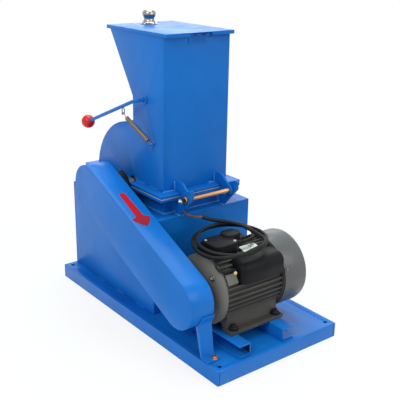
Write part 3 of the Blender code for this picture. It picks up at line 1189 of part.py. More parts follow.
def capacitor_sections(side):
    """The moulded cover over a capacitor: one outline along the motor, shrinking at the ends."""
    bend = CAPACITOR_ROUND
    corner = (CAPACITOR_OUT - bend, CAPACITOR_RISE - bend)
    inner = (CAPACITOR_IN + bend / 3, CAPACITOR_RISE - bend / 3)
    outline = [(CAPACITOR_OUT - bend, CAPACITOR_LOW - bend / 3), (CAPACITOR_OUT, CAPACITOR_LOW),
               *arc(corner, bend, 0, math.pi / 2, 5), *arc(inner, bend / 3, math.pi / 2, math.pi, 3),
               (CAPACITOR_IN, CAPACITOR_RISE - bend)]
    middle = Vector((CAPACITOR_OUT - bend, CAPACITOR_LOW + bend / 2))
    low, high = CAPACITOR_Y
    dome = CAPACITOR_DOME
    sections = []
    for y, share in ((low, 0.62), (low + 0.15 * dome, 0.78), (low + 0.5 * dome, 0.92), (low + dome, 1),
                     (high - 0.3 * dome, 1), (high, 0.9)):
        ring = [middle + (Vector(point) - middle) * share for point in outline]
        sections.append([(MOTOR_X + side * p.x, y, MOTOR_Z + p.y) for p in ring])
    return sections


def smooth_route(points, spacing):
    """Points every so often along a smooth curve through the route's own points."""
    route = [Vector(p) for p in points]
    ends = [2 * route[0] - route[1], *route, 2 * route[-1] - route[-2]]
    fine = []
    for i in range(1, len(ends) - 2):
        a, b, c, d = ends[i - 1:i + 3]
        for k in range(24):
            t = k / 24
            fine.append(0.5 * (2 * b + (c - a) * t + (2 * a - 5 * b + 4 * c - d) * t ** 2
                               + (3 * b - a - 3 * c + d) * t ** 3))
    fine.append(route[-1])
    total = sum((q - p).length for p, q in zip(fine, fine[1:]))
    count = max(2, round(total / spacing))
    result = [fine[0]]
    walked = 0
    for p, q in zip(fine, fine[1:]):
        walked += (q - p).length
        if walked >= total * len(result) / count and len(result) < count:
            result.append(q)
    return [*result, route[-1]]


def cord():
    """The loose power cord: out of the gland, coiled on the motor, its tail lifting off."""
    middle = Vector((MOTOR_X, 0, MOTOR_Z)) + Vector(COIL_FROM_MOTOR)
    half = COIL_HEIGHT / 2
    inner, outer = COIL_RADIUS - COIL_HALF_WIDTH, COIL_RADIUS + COIL_HALF_WIDTH
    profile = [(inner, -half), (outer, -half), (outer, half), (inner, half)]
    lean = Vector((-math.sin(COIL_TILT) * math.cos(COIL_HIGH_SIDE),
                   -math.sin(COIL_TILT) * math.sin(COIL_HIGH_SIDE), math.cos(COIL_TILT)))
    turned("cord_coil", profile, middle, lean, RUBBER, sides=32, closed=True)
    start = gland_place(GLAND_LENGTH + GAP)
    lead = [start, (start.x, (start.y + LEAD_STRAIGHT) / 2, start.z)]
    for k in range(7):
        angle = LEAD_TURN * k / 6
        lead.append((start.x - LEAD_BEND * (1 - math.cos(angle)),
                     LEAD_STRAIGHT + LEAD_BEND * math.sin(angle), start.z + LEAD_RISE * k / 6))
    tube("cord_lead", smooth_route(lead, 0.012), CORD_RADIUS, RUBBER, 2)
    tail = [(0.0972, 0.0050, 0.0109), (0.0962, 0.0220, 0.0117), (0.0897, 0.0370, 0.0128),
            (0.0785, 0.0480, 0.0142), (0.0640, 0.0540, 0.0158), (0.0490, 0.0558, 0.0175),
            (0.0256, 0.0562, 0.0197), (0.0000, 0.0555, 0.0215), (-0.0235, 0.0525, 0.0235),
            (-0.0455, 0.0445, 0.0247), (-0.0650, 0.0340, 0.0245), (-0.0850, 0.0235, 0.0233),
            (-0.1050, 0.0125, 0.0235), (-0.1230, 0.0003, 0.0265)]
    tube("cord_tail", smooth_route([middle + Vector(p) for p in tail], 0.012), CORD_RADIUS, RUBBER, 2)


clear_scene()
PARTS = new_collection("hammer_crusher")
CUTTERS = new_collection("cutters")
BASE_CENTRE = new_base_centre()

base_pan()
motor_rails()
housing()
lower_neck()
flanges()
sieve()
pillow_block("bearing_near", -1)
pillow_block("bearing_far", 1)
cover()
lid()
lever()
clamp()
rotor()
belt_drive()
motor()
cord()

for part in PARTS.objects:
    if part.type == "MESH":
        part.data.shade_smooth()
        part.data.set_sharp_from_angle(angle=math.radians(35))
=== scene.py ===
# %% [markdown]
# # A hammer crusher in blue paint
# The machine is a small workshop mill: a belt-driven rotor with swinging hammers sits under a
# hinged cover, and a feed hopper stands on that cover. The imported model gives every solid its
# place. This notebook gives the solids their skins, adds what a workshop adds last (welds,
# bolts, wires, a spring's coils) and sets up a plain studio.

# %% Load the frame
import json
from math import atan2, cos, pi, radians, sin, tan

import bmesh
import bpy
from mathutils import Matrix, Vector


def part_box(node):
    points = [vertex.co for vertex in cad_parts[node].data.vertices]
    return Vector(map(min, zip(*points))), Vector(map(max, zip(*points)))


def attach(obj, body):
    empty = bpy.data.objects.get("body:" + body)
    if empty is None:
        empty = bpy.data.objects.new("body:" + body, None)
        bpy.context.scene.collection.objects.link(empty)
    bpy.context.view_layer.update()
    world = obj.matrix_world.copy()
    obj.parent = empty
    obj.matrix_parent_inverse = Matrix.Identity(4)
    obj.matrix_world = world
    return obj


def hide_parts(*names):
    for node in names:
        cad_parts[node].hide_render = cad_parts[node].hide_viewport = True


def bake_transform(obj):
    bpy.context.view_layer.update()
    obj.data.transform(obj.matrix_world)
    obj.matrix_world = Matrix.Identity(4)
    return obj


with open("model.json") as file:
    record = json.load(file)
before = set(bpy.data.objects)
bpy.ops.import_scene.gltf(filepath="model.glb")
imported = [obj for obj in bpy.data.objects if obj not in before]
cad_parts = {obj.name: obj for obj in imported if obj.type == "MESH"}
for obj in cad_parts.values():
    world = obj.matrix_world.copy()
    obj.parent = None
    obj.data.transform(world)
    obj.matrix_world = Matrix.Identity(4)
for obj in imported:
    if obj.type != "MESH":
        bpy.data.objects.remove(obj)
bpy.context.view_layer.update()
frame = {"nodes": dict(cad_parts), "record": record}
NODES = frame["nodes"]
BODY_OF = {node: body for body, nodes in frame["record"]["behaviour"]["bodies"].items()
           for node in nodes}
print(f"{len(NODES)} solids on {len(set(BODY_OF.values()))} bodies")

# %% [markdown]
# ## The camera
# The view was solved from the base, the housing and the hopper: a short telephoto lens looks
# down on the belt side and the motor's end. Sizes below are measured from the centre of the
# base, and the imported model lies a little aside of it, so every place goes through one function.

# %% Camera
SHIFT = Vector((0.02791, 0.015, 0.0))
IMAGE_WIDTH = 400
FOCAL_PIXELS = 723.07
CAMERA_PLACE = (1.5631, -1.1948, 1.0202)
CAMERA_TURN = (70.74, -0.895, 52.12)


def at(x, y, z):
    """A place measured from the centre of the base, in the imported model's frame."""
    return Vector((x, y, z)) + SHIFT


def placed(name, data):
    """An object for a mesh, a curve, a lamp or a camera, linked into the scene."""
    thing = bpy.data.objects.new(name, data)
    bpy.context.scene.collection.objects.link(thing)
    return thing


lens = bpy.data.cameras.new("camera")
lens.sensor_width = 36.0
lens.lens = FOCAL_PIXELS / IMAGE_WIDTH * lens.sensor_width
camera = placed("camera", lens)
camera.location = at(*CAMERA_PLACE)
camera.rotation_euler = [radians(angle) for angle in CAMERA_TURN]
bpy.context.scene.camera = camera
print(f"lens {lens.lens:.1f} mm")

# %% [markdown]
# ## Arithmetic on sockets
# A shader is easier to read as a formula than as a web of Math nodes. A small class wraps an
# output socket and answers to the usual operators, and one method makes every other node.


# %% Shader helpers
class Wire:
    """An output socket that takes part in arithmetic."""

    def __init__(self, skin, socket):
        self.skin = skin
        self.socket = socket

    def _math(self, operation, first, second):
        node = self.skin.make("Math", {"operation": operation}, {0: first, 1: second})
        return Wire(self.skin, node.outputs[0])

    def __add__(self, other):
        return self._math("ADD", self, other)

    def __radd__(self, other):
        return self._math("ADD", other, self)

    def __sub__(self, other):
        return self._math("SUBTRACT", self, other)

    def __rsub__(self, other):
        return self._math("SUBTRACT", other, self)

    def __mul__(self, other):
        return self._math("MULTIPLY", self, other)

    def __rmul__(self, other):
        return self._math("MULTIPLY", other, self)

    def __gt__(self, other):
        return self._math("GREATER_THAN", self, other)


class Skin:
    """A material with one Principled surface, built node by node."""

    def __init__(self, name, colour, roughness, metallic=0.0, coat=0.0, shine=0.5):
        self.material = bpy.data.materials.new(name)
        self.material.use_nodes = True
        self.material.diffuse_color = (*colour, 1)
        self.tree = self.material.node_tree
        self.surface = self.tree.nodes["Principled BSDF"]
        self.set("Base Color", (*colour, 1))
        self.set("Roughness", roughness)
        self.set("Metallic", metallic)
        self.set("Coat Weight", coat)
        self.set("Specular IOR Level", shine)

    def make(self, kind, settings=None, inputs=None):
        """A node of a kind, with its settings and then its sockets' values or links."""
        node = self.tree.nodes.new("ShaderNode" + kind)
        for key, value in (settings or {}).items():
            setattr(node, key, value)
        for key, value in (inputs or {}).items():
            self.feed(node.inputs[key], value)
        return node

    def feed(self, socket, value):
        if isinstance(value, Wire):
            self.tree.links.new(value.socket, socket)
        else:
            socket.default_value = value

    def set(self, name, value):
        self.feed(self.surface.inputs[name], value)

    def out(self, kind, output, settings=None, inputs=None):
        """One output of a new node."""
        return Wire(self, self.make(kind, settings, inputs).outputs[output])

    def places(self, scale=(1, 1, 1)):
        """Object coordinates, stretched."""
        here = self.out("TexCoord", "Object")
        return self.out("Mapping", "Vector", {"vector_type": "TEXTURE"},
                        {"Vector": here, "Scale": tuple(1 / s for s in scale)})

    def noise(self, scale, detail=3.0, roughness=0.5, places=None):
        return self.out("TexNoise", "Fac", {"noise_dimensions": "3D"},
                        {"Vector": places or self.places(), "Scale": scale, "Detail": detail,
                         "Roughness": roughness})

    def ramp(self, value, low, high, start=0.0, end=1.0):
        """A value spread from one range to another and held at its ends."""
        return self.out("MapRange", "Result", {"clamp": True},
                        {"Value": value, "From Min": low, "From Max": high, "To Min": start,
                         "To Max": end})

    def mix(self, first, second, share):
        """Two colours mixed by a share. A colour is three numbers or a wire."""
        ends = [shade if isinstance(shade, Wire) else (*shade, 1) for shade in (first, second)]
        return self.out("Mix", 2, {"data_type": "RGBA"}, {0: share, 6: ends[0], 7: ends[1]})

    def mottle(self, colour, other, share):
        """A base colour that runs from one colour to another."""
        self.set("Base Color", self.mix(colour, other, share))

    def outside(self, centre, half):
        """1 outside an upright box and 0 inside it."""
        here = self.out("TexCoord", "Object")
        apart = self.out("VectorMath", "Vector", {"operation": "SUBTRACT"}, {0: here, 1: centre})
        split = self.make("SeparateXYZ", None, {
            0: self.out("VectorMath", "Vector", {"operation": "ABSOLUTE"}, {0: apart})})
        past = sum(Wire(self, out) > size for out, size in zip(split.outputs, half))
        return self.ramp(past, 0.0, 1.0)

    def bump(self, height, strength, distance):
        inputs = {"Height": height, "Strength": strength, "Distance": distance}
        self.set("Normal", self.out("Bump", "Normal", None, inputs))


# %% [markdown]
# ## Paint
# The sheet work is sprayed in one glossy blue. Real spray paint is never quite flat: it has a fine
# orange peel, its tone varies a little in clouds, and dust dulls it in patches.
# The coat gives the sharp highlights and the base keeps the colour. In the mouth of the near motor
# rail the colour is darkened as painted shade for the inside of the channel.


# %% Blue paint
SHEET_BLUE = (0.004, 0.165, 0.6)
# near-black of the painted shade in the near rail's mouth; then where that shade starts and how
# far it fades
PAINTED_SHADE_DARK = (0.008, 0.009, 0.012)
RAIL_END, RAIL_MOUTH = 0.38, (0.02, 0.065)       # where the dark starts, and how far it fades


def blue_paint(name, colour, peel=0.1, shine=0.15, unshaded_share=None):
    """Sprayed paint. A function of the skin, if given, says where painted shade darkens the
    colour, from 1 untouched to 0 near-black.
    """
    skin = Skin(name, colour, 0.4, coat=0.1, shine=shine)
    skin.set("Coat Roughness", 0.16)
    cloud = skin.noise(5.0, 4.0)
    deep = tuple(0.88 * c for c in colour)
    pale = (colour[0] * 1.3 + 0.002, colour[1] * 1.1, min(1.0, colour[2] * 1.06))
    paint = skin.mix(deep, pale, skin.ramp(cloud, 0.3, 0.7))
    # painted shade: the colour goes to near-black where the share is 0
    if unshaded_share:
        paint = skin.mix(PAINTED_SHADE_DARK, paint, unshaded_share(skin))
    skin.set("Base Color", paint)
    dust = skin.ramp(skin.noise(14.0, 6.0, 0.65), 0.45, 0.75)
    skin.set("Roughness", 0.36 + 0.16 * dust)
    skin.bump(skin.noise(420.0, 2.0), peel, 0.0006)
    return skin.material


BLUE = blue_paint("blue_paint", SHEET_BLUE)
# a lighter blue on these beads is a painted highlight for their glints; their stronger peel and
# shine are real
LIGHTENED_WELD_BLUE = blue_paint("blue_paint_lightened_for_weld_glints", (0.03, 0.27, 0.74), 0.3, 0.8)


def outside_painted_rail_shade(skin):
    """0 in the mouth of the near rail's channel, where the colour is darkened as painted shade."""
    along = skin.out("SeparateXYZ", "X", None, {0: skin.out("TexCoord", "Object")})
    near, deep = (at(RAIL_END - depth, 0, 0).x for depth in RAIL_MOUTH)
    within = 1 - skin.outside(at(0.225, -0.113, 0.0612), (0.2, 0.0175, 0.0123))
    return 1 - within * skin.ramp(along, deep, near)


# the rails' blue, with painted shade in the near rail's mouth
RAIL_BLUE_WITH_SHADE = blue_paint("blue_paint_with_painted_rail_shade", SHEET_BLUE, unshaded_share=outside_painted_rail_shade)
print(f"{len(bpy.data.materials)} blue paints")

# %% [markdown]
# ## Metals
# Each bare metal keeps the marks of how it was made: the rotor and the knob are turned, so fine
# rings run round them; zinc is a cool, slightly cloudy mirror; the hammers are flat bar with
# mill scale.

# %% Metals
def turned_steel(name, colour, roughness):
    """Fine rings along Y, and darker stains in patches."""
    skin = Skin(name, colour, roughness, 1.0)
    marks = skin.noise(1.0, 2.0, places=skin.places((4, 900.0, 4)))
    skin.set("Roughness", roughness + 0.1 * skin.ramp(marks, 0.35, 0.65))
    dull = tuple(0.72 * c for c in colour)
    skin.mottle(colour, dull, skin.ramp(skin.noise(30.0, 4.0), 0.4, 0.8))
    skin.bump(marks, 0.05, 0.0003)
    return skin.material


def plated(name, colour, roughness):
    """A cloudy mirror."""
    skin = Skin(name, colour, roughness, 1.0)
    tint = (colour[0] * 0.82, colour[1] * 0.86, colour[2] * 0.8)
    skin.mottle(colour, tint, skin.ramp(skin.noise(60.0, 4.0), 0.35, 0.7))
    skin.set("Roughness", roughness + 0.14 * skin.noise(25.0, 4.0))
    skin.bump(skin.noise(500.0, 2.0), 0.05, 0.0003)
    return skin.material


def polished(name, colour, roughness):
    """An even mirror with faint smears."""
    skin = Skin(name, colour, roughness, 1.0)
    skin.set("Roughness", roughness + 0.05 * skin.noise(35.0, 3.0))
    return skin.material


def mill_scale(name, colour):
    """Dark scale, worn through to bare iron in patches."""
    skin = Skin(name, colour, 0.5, 0.85)
    patches = skin.ramp(skin.noise(22.0, 6.0, 0.7), 0.4, 0.65)
    skin.mottle(colour, tuple(min(1.0, 2.4 * c) for c in colour), patches)
    skin.set("Roughness", 0.38 + 0.24 * patches)
    skin.bump(skin.noise(160.0, 5.0), 0.2, 0.0005)
    return skin.material


BRIGHT = turned_steel("turned_steel", (0.44, 0.44, 0.45), 0.22)
STAINLESS = polished("stainless", (0.33, 0.31, 0.27), 0.14)
ZINC = plated("zinc_plate", (0.62, 0.65, 0.7), 0.24)
DULL_ZINC = plated("dull_zinc_plate", (0.2, 0.2, 0.2), 0.42)
COPPER_ZINC = plated("copper_coloured_plate", (0.72, 0.36, 0.2), 0.28)
SCALE = mill_scale("mill_scale", (0.085, 0.08, 0.076))
SPRING_STEEL = plated("spring_steel", (0.34, 0.27, 0.21), 0.46)
YELLOW_ZINC = plated("yellow_zinc", (0.78, 0.6, 0.3), 0.26)
PLATE_GREY = plated("bare_plate", (0.72, 0.74, 0.71), 0.5)
print(f"{len(bpy.data.materials)} finishes with the metals")

# %% [markdown]
# ## The motor's finishes
# The motor's body and bells are cast aluminium under a satin grey paint. A casting is never
# smooth: sand grain shows through the paint, which wears paler in patches.


# %% Castings and mouldings
def cast_paint(name, colour, roughness, grain=0.25, metallic=0.0, shine=0.3):
    """Satin paint or plastic over sand grain, worn a little paler in patches."""
    skin = Skin(name, colour, roughness, metallic, shine=shine)
    worn = tuple(min(1.0, 1.35 * c + 0.006) for c in colour)
    skin.mottle(colour, worn, skin.ramp(skin.noise(9.0, 5.0), 0.35, 0.7))
    skin.set("Roughness", roughness + 0.12 * skin.noise(40.0, 4.0))
    skin.bump(skin.noise(330.0, 4.0), grain, 0.0005)
    return skin.material


MOTOR_GREY = cast_paint("motor_grey", (0.052, 0.05, 0.045), 0.46)
BELL_GREY = cast_paint("bell_grey", (0.13, 0.126, 0.114), 0.42, 0.3)
COVER_GREY = cast_paint("fan_cover_grey", (0.088, 0.09, 0.091), 0.3, 0.06, shine=0.5)
BLACK_IRON = cast_paint("black_iron", (0.008, 0.008, 0.009), 0.45, 0.45, shine=0.2)
BLACK_PLASTIC = cast_paint("black_plastic", (0.005, 0.005, 0.006), 0.42, 0.1, shine=0.12)
RUBBER = cast_paint("cord_rubber", (0.006, 0.006, 0.006), 0.48, 0.12, shine=0.22)
SEAL = cast_paint("cream_seal", (0.62, 0.52, 0.38), 0.85, 0.5)
RED = Skin("red_ball", (0.72, 0.012, 0.01), 0.3, shine=0.4).material
# dark of the fan cover's lap seam, and painted shade for the slots of the lid's hinge
SEAM_DARK_AND_SLOT_SHADE = cast_paint("dark_seam_and_painted_slot_shade", (0.01, 0.01, 0.01), 0.6, 0.1)
print(f"{len(bpy.data.materials)} finishes with the castings")

# %% [markdown]
# ## Turned and cut pieces
# Most added pieces are turned on a lathe or cut from plate, so there is one function for each.
# Both join rings of corners with faces, and both end with smooth faces that break only at real
# edges.


# %% Turned and cut pieces
def kept(name, shape):
    """The shape as a named mesh; the shape itself is freed."""
    mesh = bpy.data.meshes.new(name)
    shape.to_mesh(mesh)
    shape.free()
    return mesh


def finished(name, shape, material, sharp=32):
    """The shape as an object, smooth except at its real edges."""
    bmesh.ops.recalc_face_normals(shape, faces=shape.faces)
    mesh = kept(name, shape)
    mesh.materials.append(material)
    mesh.shade_smooth()
    mesh.set_sharp_from_angle(angle=radians(sharp))
    return placed(name, mesh)


def walls(shape, rings):
    """Faces between rings of as many corners; a ring may have shrunk to one point."""
    for low, high in zip(rings, rings[1:]):
        for i in range(len(low)):
            j = (i + 1) % len(low)
            corners = list(dict.fromkeys((low[i], low[j], high[j], high[i])))
            if len(corners) > 2:
                shape.faces.new(corners)


def lathe(name, profile, foot, axis, material, segments=48, sharp=32):
    """A turned piece from its profile, given as radius and height along the axis."""
    shape = bmesh.new()
    rings = []
    for radius, height in profile:
        if radius < 1e-6:
            rings.append([shape.verts.new((0, 0, height))] * segments)
        else:
            turns = [2 * pi * i / segments for i in range(segments)]
            rings.append([shape.verts.new((radius * cos(a), radius * sin(a), height))
                          for a in turns])
    walls(shape, rings)
    shape.transform(Matrix.Translation(foot)
                    @ Vector(axis).to_track_quat("Z", "Y").to_matrix().to_4x4())
    return finished(name, shape, material, sharp)


def slab(name, outline, thickness, corner, along, across, material):
    """A plate cut to an outline, which lies in the plane of two directions."""
    along, across = Vector(along).normalized(), Vector(across).normalized()
    up = along.cross(across)
    shape = bmesh.new()
    flat = [Vector(corner) + along * s + across * t for s, t in outline]
    layers = [[shape.verts.new(place + up * h) for place in flat] for h in (0.0, thickness)]
    for layer in layers:
        shape.faces.new(layer)
    walls(shape, layers)
    return finished(name, shape, material)


# %% [markdown]
# ## Wires
# A cord or wire needs an even, smooth centreline. A spline is drawn through a few chosen points,
# then walked in equal steps, and a curve object with a round bevel gives it its thickness.


# %% Wires
def run_of(places):
    """The length of a route."""
    return sum((q - p).length for p, q in zip(places, places[1:]))


def smooth_route(points, spacing):
    """Points every so often along a smooth curve through the route's own points."""
    route = [Vector(p) for p in points]
    ends = [2 * route[0] - route[1], *route, 2 * route[-1] - route[-2]]
    fine = []
    for a, b, c, d in zip(ends, ends[1:], ends[2:], ends[3:]):
        for k in range(24):
            t = k / 24
            fine.append(0.5 * (2 * b + (c - a) * t + (2 * a - 5 * b + 4 * c - d) * t ** 2
                               + (3 * b - a - 3 * c + d) * t ** 3))
    fine.append(route[-1])
    total = run_of(fine)
    count = max(2, round(total / spacing))
    result, walked = [fine[0]], 0.0
    for p, q in zip(fine, fine[1:]):
        walked += (q - p).length
        if walked >= total * len(result) / count and len(result) < count:
            result.append(q)
    return [*result, route[-1]]


def strand(name, points, radius, material, rounds=4):
    """A wire or cord: one open curve with round ends."""
    curve = bpy.data.curves.new(name, "CURVE")
    curve.dimensions = "3D"
    curve.bevel_depth = radius
    curve.bevel_resolution = rounds
    curve.use_fill_caps = True
    spline = curve.splines.new("POLY")
    spline.points.add(len(points) - 1)
    for spot, place in zip(spline.points, points):
        spot.co = (*place, 1)
    spline.use_smooth = True
    curve.materials.append(material)
    return placed(name, curve)


# %% [markdown]
# ## Every piece rides
# A piece that turns with the cover, the lid or the lever rides on that body. It also names the
# imported solids that it stands for, if any.


# %% Rides
def fitted(piece, body, slot, *nodes):
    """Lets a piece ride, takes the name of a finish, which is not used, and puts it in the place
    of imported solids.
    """
    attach(piece, body)
    if nodes:
        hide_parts(*nodes)
    print(f"{piece.name} on {body}", "for " + ", ".join(nodes) if nodes else "")
    return piece


# %% [markdown]
# ## Patterns
# What repeats (a spring's turns, knurling, weld beads, bolts) is grown by a geometry node tree
# with named inputs, built in the script. The result is kept as a plain mesh, so no modifier
# stays on it.


# %% Geometry node trees
class Pattern:
    """A geometry node tree with named inputs, whose result is kept as a plain mesh."""

    def __init__(self, name, **inputs):
        self.tree = bpy.data.node_groups.new(name, "GeometryNodeTree")
        face = self.tree.interface
        face.new_socket("Geometry", in_out="INPUT", socket_type="NodeSocketGeometry")
        self.names = {label: face.new_socket(label, in_out="INPUT",
                                             socket_type="NodeSocket" + kind).identifier
                      for label, kind in inputs.items()}
        face.new_socket("Geometry", in_out="OUTPUT", socket_type="NodeSocketGeometry")
        self.start = self.tree.nodes.new("NodeGroupInput")

    def node(self, kind, inputs, output=0, **settings):
        """One node's output, or all its outputs; its inputs are values or other nodes' outputs."""
        node = self.tree.nodes.new(kind)
        for key, value in settings.items():
            setattr(node, key, value)
        for key, value in inputs.items():
            if isinstance(value, bpy.types.NodeSocket):
                self.tree.links.new(value, node.inputs[key])
            else:
                node.inputs[key].default_value = value
        return node.outputs if output is None else node.outputs[output]

    def close(self, geometry, smooth=True):
        """Real faces, smooth or flat, in the material that the tree is given."""
        real = self.node("GeometryNodeRealizeInstances", {"Geometry": geometry})
        even = self.node("GeometryNodeSetShadeSmooth", {"Geometry": real, "Shade Smooth": smooth})
        dressed_up = self.node("GeometryNodeSetMaterial",
                               {"Geometry": even, "Material": self.start.outputs["Material"]})
        self.tree.links.new(dressed_up, self.tree.nodes.new("NodeGroupOutput").inputs[0])
        print(f"pattern {self.tree.name}: {len(self.tree.nodes)} nodes")

    def grow(self, name, mesh, place=None, sharp=None, **values):
        """The tree's result on a mesh, as a plain mesh in its place."""
        seed = placed(name + "_seed", mesh)
        run = seed.modifiers.new("Pattern", "NODES")
        run.node_group = self.tree
        for label, value in values.items():
            run[self.names[label]] = value
        graph = bpy.context.evaluated_depsgraph_get()
        grown = bpy.data.meshes.new_from_object(seed.evaluated_get(graph))
        bpy.data.objects.remove(seed)
        if place is not None:
            grown.transform(place)
        if sharp:
            grown.set_sharp_from_angle(angle=radians(sharp))
        return placed(name, grown)


def lines_mesh(name, lines):
    """A mesh of edges, one chain for each line."""
    mesh = bpy.data.meshes.new(name)
    places, edges = [], []
    for line in lines:
        edges += [(len(places) + i, len(places) + i + 1) for i in range(len(line) - 1)]
        places += [tuple(p) for p in line]
    mesh.from_pydata(places, edges, [])
    return mesh


# %% [markdown]
# ## The power cord
# The cord leaves the terminal box, bends into two loose turns on the motor and comes back over
# them. A mains lead this thick takes no bend tighter than about four diameters, so the lead joins
# the coil in one wide arc. The turns are a formula; the tail's points are listed.

# %% The cord's route
MOTOR_X, MOTOR_Z = 0.2275, 0.1771
CORD_RADIUS = 0.005
GLAND = Vector((0.246, -0.0337, 0.2891))
GLAND_LENGTH = 0.022
COIL_MIDDLE = Vector((0.225, -0.035, 0.2915))
COIL_TILT = radians(5)
COIL_HIGH_SIDE = radians(132)
COIL_LEAN = Vector((-sin(COIL_TILT) * cos(COIL_HIGH_SIDE),
                    -sin(COIL_TILT) * sin(COIL_HIGH_SIDE), cos(COIL_TILT)))
INNER_TURN = (0.0915, 0.004)       # radius, and height in the coil's own plane
OUTER_TURN = (0.102, -0.005)
LEAD_BEND = 0.045
LEAD_STRAIGHT = 0.004
JOIN = 121.5                       # where the lead meets the first turn, in degrees
STEP = 15
TAIL = [(0.0972, 0.005, 0.0109), (0.0962, 0.022, 0.0117), (0.0897, 0.037, 0.0128),
        (0.0785, 0.048, 0.0142), (0.064, 0.054, 0.0158), (0.049, 0.0558, 0.0175),
        (0.0256, 0.0562, 0.0197), (0.0, 0.0555, 0.0215), (-0.0235, 0.0525, 0.0235),
        (-0.0455, 0.0445, 0.0247), (-0.065, 0.034, 0.0245), (-0.085, 0.0235, 0.0233),
        (-0.105, 0.0125, 0.0235), (-0.123, 0.0003, 0.0265)]


def eased(value, low, high):
    share = min(1.0, max(0.0, (value - low) / (high - low)))
    return share * share * (3 - 2 * share)


def on_coil(degrees, radius, rise):
    """A place on the tilted coil."""
    a = radians(degrees)
    fall = radius * tan(COIL_TILT) * cos(a - COIL_HIGH_SIDE)
    flat = Vector((radius * cos(a), radius * sin(a), fall))
    return COIL_MIDDLE + flat + COIL_LEAN * rise


def cord_route():
    exit_place = GLAND + Vector((0, GLAND_LENGTH, 0))
    route = [exit_place, exit_place + Vector((0, 0.008, 0))]
    join = on_coil(JOIN, *INNER_TURN)
    for k in range(9):
        share = k / 9
        a = radians(JOIN) * share
        rise = (join.z - GLAND.z) * share * share * (1.5 - 0.5 * share)
        route.append(Vector((GLAND.x - LEAD_BEND * (1 - cos(a)),
                             LEAD_STRAIGHT + LEAD_BEND * sin(a), GLAND.z + rise)))
    degrees = JOIN
    while degrees < 715:
        spread = eased(degrees, 385, 480)
        radius, rise = (a + (b - a) * spread for a, b in zip(INNER_TURN, OUTER_TURN))
        radius -= 0.004 * eased(degrees, 690, 722)
        route.append(on_coil(degrees, radius, rise + 0.0205 * eased(degrees, 640, 722)))
        degrees += STEP if degrees < 645 else STEP - 3
    return route + [COIL_MIDDLE + Vector(p) for p in TAIL]


# %% [markdown]
# ## Three wires
# The sheath is cut open at its end, and three bare-ended wires come out of it, as the machine is
# delivered. They are twisted about one route, and open up towards their ends.

# %% Wires of the cord
WIRES_ROUTE = [(0.102, -0.0347, 0.318), (0.0958, -0.0418, 0.319), (0.0885, -0.0505, 0.3192),
               (0.0825, -0.0585, 0.3205), (0.079, -0.0655, 0.324), (0.08, -0.0735, 0.33),
               (0.0838, -0.085, 0.339)]
WIRE_RADIUS = 0.0013


def twisted(route, strand_number, spread=0.0016, pitch=0.03):
    """One of three strands twisted about a route."""
    places, walked = [], 0.0
    fine = smooth_route(route, 0.0016)
    for i, place in enumerate(fine):
        ahead = fine[min(i + 1, len(fine) - 1)] - fine[max(i - 1, 0)]
        walked += (place - fine[max(i - 1, 0)]).length
        side = ahead.cross(Vector((0, 0, 1))).normalized()
        up = side.cross(ahead).normalized()
        a = 2 * pi * (walked / pitch + strand_number / 3)
        open_up = 1 + 0.9 * eased(i, 0.7 * len(fine), len(fine))
        places.append(place + (side * cos(a) + up * sin(a)) * spread * open_up)
    return places


def wire_skin(name, colour, stripe):
    """Soft plastic in one colour, with the sheath's faint chalk on it."""
    skin = Skin(name, colour, 0.36)
    skin.mottle(colour, stripe, skin.ramp(skin.noise(120.0, 4.0), 0.5, 0.8))
    skin.bump(skin.noise(400.0), 0.08, 0.0002)
    return skin.material


# %% [markdown]
# ## The cord and its gland
# The gland is a nut on the box and a ribbed sleeve that tapers onto the cord.


# %% Power cord
def power_cord():
    places = [at(*p) for p in smooth_route(cord_route(), 0.005)]
    cord = strand("power_cord", places, CORD_RADIUS, RUBBER, 6)
    nut = [(0.0, 0.0), (0.0086, 0.0), (0.009, 0.0006), (0.009, 0.005), (0.0078, 0.006)]
    sleeve = [(0.0078, 0.0062), (0.0076, 0.0085)]
    for k in range(5):
        height = 0.009 + 0.0026 * k
        size = 0.0074 - 0.0003 * k
        sleeve += [(size, height), (size, height + 0.0014), (size - 0.0009, height + 0.0016),
                   (size - 0.0009, height + 0.0024)]
    sleeve += [(0.0054, GLAND_LENGTH), (0.0, GLAND_LENGTH)]
    collar = lathe("gland_nut", [*nut, (0.0, 0.006)], at(*GLAND), (0, 1, 0), BLACK_PLASTIC, 6, 20)
    relief = lathe("strain_relief", sleeve, at(*GLAND), (0, 1, 0), RUBBER)
    for number, (name, colour, stripe) in enumerate((
            ("wire_live", (0.5, 0.055, 0.015), (0.62, 0.16, 0.06)),
            ("wire_earth", (0.05, 0.16, 0.02), (0.45, 0.42, 0.03)),
            ("wire_neutral", (0.13, 0.045, 0.018), (0.2, 0.09, 0.04)))):
        path = [at(*p) for p in twisted(WIRES_ROUTE, number)]
        skin = wire_skin(name + "_skin", colour, stripe)
        fitted(strand(name, path, WIRE_RADIUS, skin), "frame", "rubber")
    fitted(collar, "frame", "black_plastic", "cable_gland")
    fitted(relief, "frame", "rubber")
    fitted(cord, "frame", "rubber", "cord_lead", "cord_coil", "cord_tail")
    length = run_of(places)
    print(f"cord {length:.3f} m")


power_cord()

# %% [markdown]
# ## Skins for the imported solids
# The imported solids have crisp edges, and a real fold or casting has a small radius that catches
# the light. Each solid is copied, its triangles are merged back into faces, and a small bevel
# with hardened normals rounds what is an edge and leaves curves smooth.


# %% Dressed copies
REAL_EDGE = radians(28)       # where two faces meet more sharply than this, it is an edge
SAME_PLACE, SAME_PLANE = 0.00002, radians(0.6)


